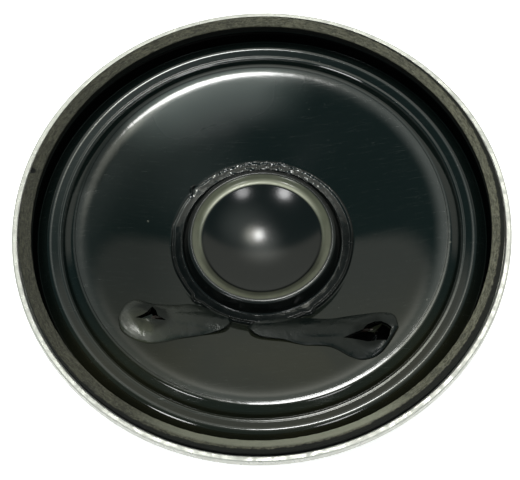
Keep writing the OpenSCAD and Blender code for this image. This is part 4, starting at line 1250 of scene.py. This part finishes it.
@dataclass
class Tail:
    """One mound of glue over a lead, from the bead to past its slit."""

    name: str
    node: str
    upper: tuple[Flat, ...]
    lower: tuple[Flat, ...]
    slit: Slit
    lead: tuple[Flat, Flat]
    height: float
    seed: float
    cover: float = 0.56
    datum: Datum = field(repr=False, default=None)
    finishes: Finishes = field(repr=False, default=None)
    across: int = 40

    def off_lead(self, x: float, y: float) -> float:
        """Distance from the line of the lead, in millimetres."""
        start, end = Vector(self.lead[0]), Vector(self.lead[1])
        along = min(1.0, max(0.0, (Vector((x, y)) - start).dot(end - start) / (end - start).length_squared))
        return (Vector((x, y)) - start.lerp(end, along)).length

    def surface(self) -> bmesh.types.BMesh:
        """Makes the mound as a grid between its upper and lower edges, closed underneath."""
        steps = 14
        top = through(self.upper, steps)
        low = through(self.lower, steps)
        along = len(top) - 1
        bm = bmesh.new()
        bmesh.ops.create_grid(bm, x_segments=along, y_segments=self.across, size=1)
        hole = Vector((sum(p[0] for p in self.slit.outline), sum(p[1] for p in self.slit.outline)))
        hole /= len(self.slit.outline)

        def place(co: Vector) -> Vector:
            i = min(along, max(0, round((co.x + 1) / 2 * along)))
            v = (co.y + 1) / 2
            x = low[i][0] + (top[i][0] - low[i][0]) * v
            y = low[i][1] + (top[i][1] - low[i][1]) * v
            t = i / along
            ends = min(1.0, math.sqrt(max(0, 1 - (1 - min(1, t / 0.12)) ** 2)) + 0.0)
            ends *= math.sqrt(max(0, 1 - max(0, (t - 0.8) / 0.2) ** 2))
            side = math.sqrt(max(0, 1 - abs(2 * v - 1) ** 3.2))
            lumps = 1 + 0.2 * noise.noise(Vector((x * 0.4, y * 0.4, self.seed)))
            lumps += 0.04 * noise.noise(Vector((x * 1.2, y * 1.2, self.seed + 5)))
            away = (Vector((x, y)) - hole).length
            crater = 1 + 0.22 * bump(away, 1.9, 1.1) - 0.35 * bump(away, 0, 1.5)
            lift = self.height * ends * side * lumps * crater * (0.82 + 0.18 * t)
            lift = max(lift, self.cover * min(1.0, t / 0.06) * bump(self.off_lead(x, y), 0, 2.2))
            return self.datum.on_cone(x * MM, y * MM, lift * MM + 0.004 * MM)

        move_verts(bm, place)
        floor = bmesh.ops.extrude_face_region(bm, geom=list(bm.faces), use_keep_orig=True)
        rear = [v for v in floor["geom"] if isinstance(v, bmesh.types.BMVert)]
        for vert in rear:
            vert.co = self.datum.on_cone(vert.co.x, vert.co.y, -0.03 * MM)
        bmesh.ops.remove_doubles(bm, verts=bm.verts, dist=1e-7)
        bmesh.ops.dissolve_degenerate(bm, edges=bm.edges, dist=1e-7)
        bmesh.ops.recalc_face_normals(bm, faces=bm.faces)
        return bm

    def build(self) -> list[bpy.types.Object]:
        """Makes the mound and its slit's flap."""
        obj = make_piece(self.name, self.surface(), self.finishes.tail, 70)
        low = self.datum.neck_z - 1 * MM
        high = self.datum.shoulder_z + 1 * MM
        cut(obj, [prism([(x * MM, y * MM) for x, y in self.slit.outline], low, high, 1.06)])
        obj.data.shade_smooth()
        obj.data.set_sharp_from_angle(angle=math.radians(50))
        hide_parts(self.node)
        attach(obj, CONE_BODY)
        return [obj, self.flap()]

    def flap(self) -> bpy.types.Object:
        """Makes the tongue of film that stands up in the slit."""
        bm = bmesh.new()
        corners = []
        for i, (x, y) in enumerate(self.slit.flap):
            lift = self.slit.flap_lift if i == len(self.slit.flap) - 1 else -0.05
            corners.append(bm.verts.new(self.datum.on_cone(x * MM, y * MM, lift * MM)))
        face = bm.faces.new(corners)
        bmesh.ops.subdivide_edges(bm, edges=bm.edges, cuts=6, use_grid_fill=True)
        bmesh.ops.triangulate(bm, faces=bm.faces)
        for vert in bm.verts:
            vert.co.z += 0.05 * MM * noise.noise(vert.co / MM * 1.3)
        bmesh.ops.recalc_face_normals(bm, faces=bm.faces)
        bmesh.ops.solidify(bm, geom=list(bm.faces), thickness=self.datum.film)
        obj = make_piece(self.name + "_flap", bm, self.finishes.film, 40)
        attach(obj, CONE_BODY)
        return obj


@dataclass
class Pigtail:
    """A flexible lead of twisted strands, from its slit through the basket to its lug."""

    name: str
    node: str
    slit: Flat
    hole: Flat
    lug: Flat
    datum: Datum
    finishes: Finishes
    strands: int = 3
    strand_r: float = 0.11 * MM
    helix_r: float = 0.125 * MM
    pitch: float = 1.7 * MM
    steps: int = 44
    under_film: float = 0.52 * MM
    hole_z: float = 10.42 * MM
    lug_z: float = 8.65 * MM

    def centre_line(self) -> list[Vector]:
        """Two curves that meet in the basket's wire hole."""
        top = self.datum.on_cone(self.slit[0] * MM, self.slit[1] * MM, -self.under_film)
        hole = Vector((self.hole[0] * MM, self.hole[1] * MM, self.hole_z))
        lug = Vector((self.lug[0] * MM, self.lug[1] * MM, self.lug_z))
        side = math.copysign(2.4 * MM, self.lug[0])
        down = Vector((0, 0, MM))
        upper = (top, top - down * 0.9, hole + down * 1.6, hole)
        lower = (hole, hole - down * 1.9, lug + Vector((side, 0, -0.25 * MM)), lug)
        points = []
        for a, b, c, d in (upper, lower):
            for i in range(self.steps):
                t = i / self.steps
                points.append(a * (1 - t) ** 3 + b * 3 * t * (1 - t) ** 2 + c * 3 * t * t * (1 - t) + d * t ** 3)
        return points + [lug]

    def strand_lines(self) -> list[list[Vector]]:
        """The centre line of each strand, wound round the lead's own."""
        points = self.centre_line()
        lines: list[list[Vector]] = [[] for _ in range(self.strands)]
        across = Vector((1, 0, 0))
        run = 0.0
        for i, point in enumerate(points):
            ahead = (points[min(i + 1, len(points) - 1)] - points[max(i - 1, 0)]).normalized()
            across = (across - ahead * across.dot(ahead)).normalized()
            run += (point - points[max(i - 1, 0)]).length
            for k, line in enumerate(lines):
                turn = TURN * (run / self.pitch + k / self.strands)
                way = across * math.cos(turn) + ahead.cross(across) * math.sin(turn)
                line.append(point + way * self.helix_r)
        return lines

    def build(self) -> list[bpy.types.Object]:
        """Makes the lead between the cone and the basket; here it stays fixed, though the real one bends there."""
        bm = bmesh.new()
        for line in self.strand_lines():
            mesh = bpy.data.meshes.new("strand")
            strand = tube(line, self.strand_r, 8)
            strand.to_mesh(mesh)
            strand.free()
            bm.from_mesh(mesh)
            bpy.data.meshes.remove(mesh)
        obj = make_piece(self.name, bm, self.finishes.tinsel, 60)
        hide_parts(self.node)
        top = self.datum.on_cone(self.slit[0] * MM, self.slit[1] * MM, -self.under_film)
        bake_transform(obj)
        return [obj]


@dataclass
class Gasket:
    """The ring of fibre board inside the lip."""

    datum: Datum
    finishes: Finishes
    segments: int = 540
    notch_angle: float = 161.2
    notch_w: float = 1.2

    def build(self) -> list[bpy.types.Object]:
        """Makes the gasket, a little rough at its edges."""
        d = self.datum
        r0, r1, z0, z1 = d.gasket_in_r, d.gasket_r, d.gasket_z, d.gasket_top_z
        loop = smooth_loop([(r0, z0, 0.02 * MM), (r1, z0, 0.02 * MM), (r1, z1, 0.1 * MM), (r0, z1, 0.09 * MM)])
        bm = revolve(finer(loop + [loop[0]], 0.16 * MM)[:-1], self.segments, Joining.CLOSED)

        def fray(co: Vector) -> Vector:
            r = math.hypot(co.x, co.y)
            degrees = math.degrees(math.atan2(co.y, co.x)) % 360
            lifted = max(0.0, (co.z - z0) / (z1 - z0))
            rough = noise.noise(Vector((co.x / MM * 1.4, co.y / MM * 1.4, co.z / MM * 2)))
            fine = noise.noise(Vector((co.x / MM * 4.5, co.y / MM * 4.5, co.z / MM * 4)))
            inward = 1 - ease((r - r0) / (0.3 * MM))
            out = r + (0.03 * rough + 0.012 * fine) * MM * (1 if inward > 0.5 else 0.35) * lifted
            nick = bump((degrees - self.notch_angle + 180) % 360 - 180, 0, self.notch_w) * ease((r - r1) / MM + 1)
            up = co.z - lifted * MM * (0.02 + 0.028 * max(0, rough) + 0.01 * fine + 0.35 * nick)
            return Vector((co.x * out / r, co.y * out / r, up))

        move_verts(bm, fray)
        obj = make_piece("gasket_board", bm, self.finishes.gasket, 50)
        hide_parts("gasket_ring")
        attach(obj, FRAME_BODY)
        return [obj]


@dataclass
class CarriedOver:
    """The CAD nodes that keep their own shape and get a better finish."""

    finishes: Finishes

    def dress(self) -> None:
        """Gives each node its finish."""
        f = self.finishes
        for node, material in (
                ("back_plate", f.plate), ("pole_piece", f.plate), ("front_plate", f.plate),
                ("magnet_ring", f.ferrite), ("magnet_glue_rear", f.amber), ("magnet_glue_front", f.amber),
                ("basket", f.basket), ("basket_rivets", f.rivet), ("vent_felt", f.felt), ("rim_glue", f.amber),
                ("terminal_board", f.laminate), ("board_rivet", f.rivet), ("terminal_lug_left", f.tinned),
                ("terminal_lug_right", f.tinned), ("lug_rivets", f.tinned), ("solder_left", f.solder),
                ("solder_right", f.solder),
                ("voice_coil_former", f.paper), ("voice_coil_winding", f.winding), ("neck_glue", f.bead),
                ("lead_wire_left", f.lead), ("lead_wire_right", f.lead)):
            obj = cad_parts[node]
            obj.data.materials.clear()
            obj.data.materials.append(material)
            log.info("%s keeps its CAD shape", node)


@dataclass
class Studio:
    """Floor, world, lamps and camera."""

    datum: Datum
    target: Vector = field(default_factory=lambda: Vector((-0.19, -1.0, 14.5)) * MM)
    distance: float = 220 * MM
    elevation: float = 64.0
    roll: float = 3.76
    focal_px: float = 2195
    image_w: int = 520
    sensor: float = 36.0
    main_azimuth: float = 84
    main_elevation: float = 71.6
    wall_turn: float = 4.5
    glow_way: Vector = field(default_factory=lambda: Vector((-0.02, 0.407, 0.913)))

    def camera(self) -> None:
        """Puts the camera at the photograph's angle."""
        data = bpy.data.cameras.new("camera")
        data.sensor_width = self.sensor
        data.lens = self.sensor * self.focal_px / self.image_w
        data.clip_start = 1 * MM
        data.clip_end = 10
        obj = bpy.data.objects.new("camera", data)
        bpy.context.scene.collection.objects.link(obj)
        e = math.radians(self.elevation)
        back = Vector((0, -math.cos(e), math.sin(e)))
        obj.rotation_mode = "QUATERNION"
        turn = back.to_track_quat("Z", "Y").to_matrix()
        obj.rotation_quaternion = (turn @ Matrix.Rotation(math.radians(self.roll), 3, "Z").inverted()).to_quaternion()
        obj.location = self.target + back * self.distance
        bpy.context.scene.camera = obj

    def lamp(self, name: str, azimuth: float, elevation: float, away: float, size: float,
             power: float, mirrored: bool = True, tall: float = 1.0) -> None:
        """Adds a soft lamp that faces the speaker.

        Args:
            name: its name.
            azimuth: its direction from +X, in degrees.
            elevation: its height over the horizon, in degrees.
            away: its distance from the speaker.
            size: its width.
            power: its power in watts.
            mirrored: whether it shows in glossy pieces.
            tall: its height as a share of its width.
        """
        data = bpy.data.lights.new(name, "AREA")
        data.shape = "ELLIPSE"
        data.size = size
        data.size_y = size * tall
        data.energy = power
        obj = bpy.data.objects.new(name, data)
        bpy.context.scene.collection.objects.link(obj)
        way = self.lamp_way(azimuth, elevation)
        obj.location = Vector((0, 0, self.datum.shoulder_z)) + way * away
        obj.rotation_mode = "QUATERNION"
        obj.rotation_quaternion = way.to_track_quat("Z", "Y")
        obj.visible_glossy = mirrored

    @staticmethod
    def lamp_way(azimuth: float, elevation: float) -> Vector:
        """The direction of an azimuth from +X and a height over the horizon, in degrees."""
        a, e = math.radians(azimuth), math.radians(elevation)
        return Vector((math.cos(a) * math.cos(e), math.sin(a) * math.cos(e), math.sin(e)))

    @staticmethod
    def nearness(sheet: Sheet, way: bpy.types.NodeSocket, centre: Vector, spread: float) -> bpy.types.NodeSocket:
        """Falls from 1 in a direction to 0 at an angle from it, in degrees."""
        along = sheet.add("ShaderNodeVectorMath", {0: way, 1: tuple(centre)}, operation="DOT_PRODUCT")
        angle = sheet.math("ARCCOSINE", along.outputs["Value"])
        return sheet.spread(angle, 0.0, math.radians(spread), 1.0, 0.0)

    def world(self) -> None:
        """A white backdrop behind and low all round, with a dark ceiling."""
        world = bpy.data.worlds.new("studio")
        bpy.context.scene.world = world
        world.use_nodes = True
        sheet = Sheet(world.node_tree)
        shade = world.node_tree.nodes["Background"]
        way = sheet.add("ShaderNodeTexCoord").outputs["Generated"]
        top = math.radians(57.4)
        turn = math.radians(self.wall_turn)
        behind = sheet.add("ShaderNodeVectorMath", {0: way, 1: (math.sin(turn) * math.sin(top), math.cos(turn) * math.sin(top), -math.cos(top))},
                           operation="DOT_PRODUCT").outputs["Value"]
        wall = sheet.spread(behind, -0.055, 0.055)
        up = sheet.add("ShaderNodeSeparateXYZ", {0: way}).outputs[2]
        low = sheet.spread(up, 0.3, 0.45, 1.0, 0.0)
        white = sheet.math("MAXIMUM", wall, low)
        level = sheet.spread(up, 0.3, 0.72, 0.64, 0.74)
        pale = sheet.blend(level, (0, 0, 0), (0.95, 1.0, 0.9))
        glow = self.nearness(sheet, way, self.glow_way, 30)
        pale = sheet.blend(sheet.math("MULTIPLY", glow, glow), pale, (4.4, 4.5, 4.1))
        broad = self.nearness(sheet, way, Vector((0.25, 0.15, 0.956)), 30)
        dark = sheet.blend(broad, (0.09, 0.165, 0.17), (0.8, 0.93, 0.88))
        flat = self.nearness(sheet, way, Vector((0.0, 0.42, 0.907)), 18)
        dark = sheet.blend(flat, dark, (1.45, 1.6, 1.5))
        halo = self.nearness(sheet, way, Vector((0.096, 0.301, 0.949)), 10)
        dark = sheet.blend(halo, dark, (8.6, 8.8, 7.6))
        seen = sheet.blend(white, dark, pale)
        path = sheet.add("ShaderNodeLightPath")
        colour = sheet.blend(path.outputs["Is Camera Ray"], seen, (1.0, 1.0, 1.0))
        world.node_tree.links.new(colour, shade.inputs["Color"])

    def floor(self) -> None:
        """A plain pale floor under the speaker."""
        bm = bmesh.new()
        bmesh.ops.create_grid(bm, x_segments=1, y_segments=1, size=1.5)
        material = bpy.data.materials.new("pale_floor")
        material.use_nodes = True
        sheet = Sheet(material.node_tree)
        shader = material.node_tree.nodes["Principled BSDF"]
        shader.inputs["Base Color"].default_value = (0.86, 0.86, 0.86, 1)
        shader.inputs["Roughness"].default_value = 0.9
        shader.inputs["Specular IOR Level"].default_value = 0.0
        shader.inputs["Emission Color"].default_value = (1, 1, 1, 1)
        path = sheet.add("ShaderNodeLightPath")
        direct = sheet.math("MAXIMUM", path.outputs["Is Camera Ray"], path.outputs["Is Glossy Ray"])
        direct = sheet.math("MAXIMUM", direct, path.outputs["Is Transmission Ray"])
        material.node_tree.links.new(sheet.math("MULTIPLY", direct, 0.7), shader.inputs["Emission Strength"])
        obj = make_piece("floor", bm, material)
        obj.data.transform(Matrix.Translation((0, 0, -0.02 * MM)))

    def build(self) -> None:
        """Sets up everything round the speaker."""
        self.camera()
        self.floor()
        self.world()
        self.lamp("main_lamp", self.main_azimuth, self.main_elevation, 0.8, 0.085, 0.78, tall=1.35)
        self.lamp("left_rear_lamp", 219.2, 59.3, 0.8, 0.16, 1.05)
        self.lamp("right_rear_lamp", 303, 61.5, 0.8, 0.16, 0.65)
        self.lamp("soft_fill", 90, 85, 1.0, 1.2, 4.6, mirrored=False)
        bpy.context.scene.view_settings.view_transform = "Standard"


def main() -> None:
    """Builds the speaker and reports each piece."""
    logging.basicConfig(level=logging.INFO, format="%(name)s: %(message)s")
    random.seed(8)
    datum = Datum.from_frame()
    finishes = Finishes(datum)
    tails = [
        Tail(name="left_lead_mound", node="lead_glue_left", slit=LEFT_SLIT, height=0.44, seed=1.0,
             lead=((-3.68, -8.67), (-11.26, -8.49)),
             upper=((-3.4, -8.5), (-4.5, -7.9), (-6.0, -6.9), (-7.5, -6.5), (-9.1, -6.75), (-11.2, -6.8),
                    (-12.8, -6.4), (-13.9, -7.1), (-14.6, -8.6)),
             lower=((-3.4, -8.5), (-4.4, -9.6), (-6.6, -10.4), (-8.7, -10.9), (-10.2, -11.35), (-11.8, -11.55),
                    (-13.4, -10.95), (-14.4, -10.0), (-14.6, -8.6))),
        Tail(name="right_lead_mound", node="lead_glue_right", slit=RIGHT_SLIT, height=0.42, seed=4.0,
             lead=((-1.47, -9.31), (10.57, -11.74)),
             upper=((-2.1, -9.3), (-0.3, -8.9), (2.3, -8.6), (4.4, -9.0), (6.2, -9.4), (8.8, -9.4),
                    (11.2, -9.6), (12.5, -10.2), (12.8, -11.6)),
             lower=((-2.1, -9.3), (-0.9, -10.6), (1.5, -11.3), (3.4, -12.2), (5.9, -12.8), (7.9, -14.4),
                    (9.3, -14.9), (11.0, -14.2), (12.8, -11.6))),
    ]
    Studio(datum).build()
    pieces = Diaphragm(datum, finishes).build()
    pieces += CentreCap(datum, finishes).build()
    pieces += Bead(datum, finishes).build()
    for tail in tails:
        tail.datum = datum
        tail.finishes = finishes
        pieces += tail.build()
    for name, node, slit, hole, lug in (
            ("left_pigtail", "pigtail_left", (-11.26, -8.49), (-9.05, -15.67), (-4.4, -17.35)),
            ("right_pigtail", "pigtail_right", (10.57, -11.74), (9.05, -15.67), (4.4, -17.35))):
        pieces += Pigtail(name, node, slit, hole, lug, datum, finishes).build()
    pieces += Gasket(datum, finishes).build()
    CarriedOver(finishes).dress()
    for piece in pieces:
        log.info("%s: %d faces", piece.name, len(piece.data.polygons))


if __name__ == "__main__":
    main()
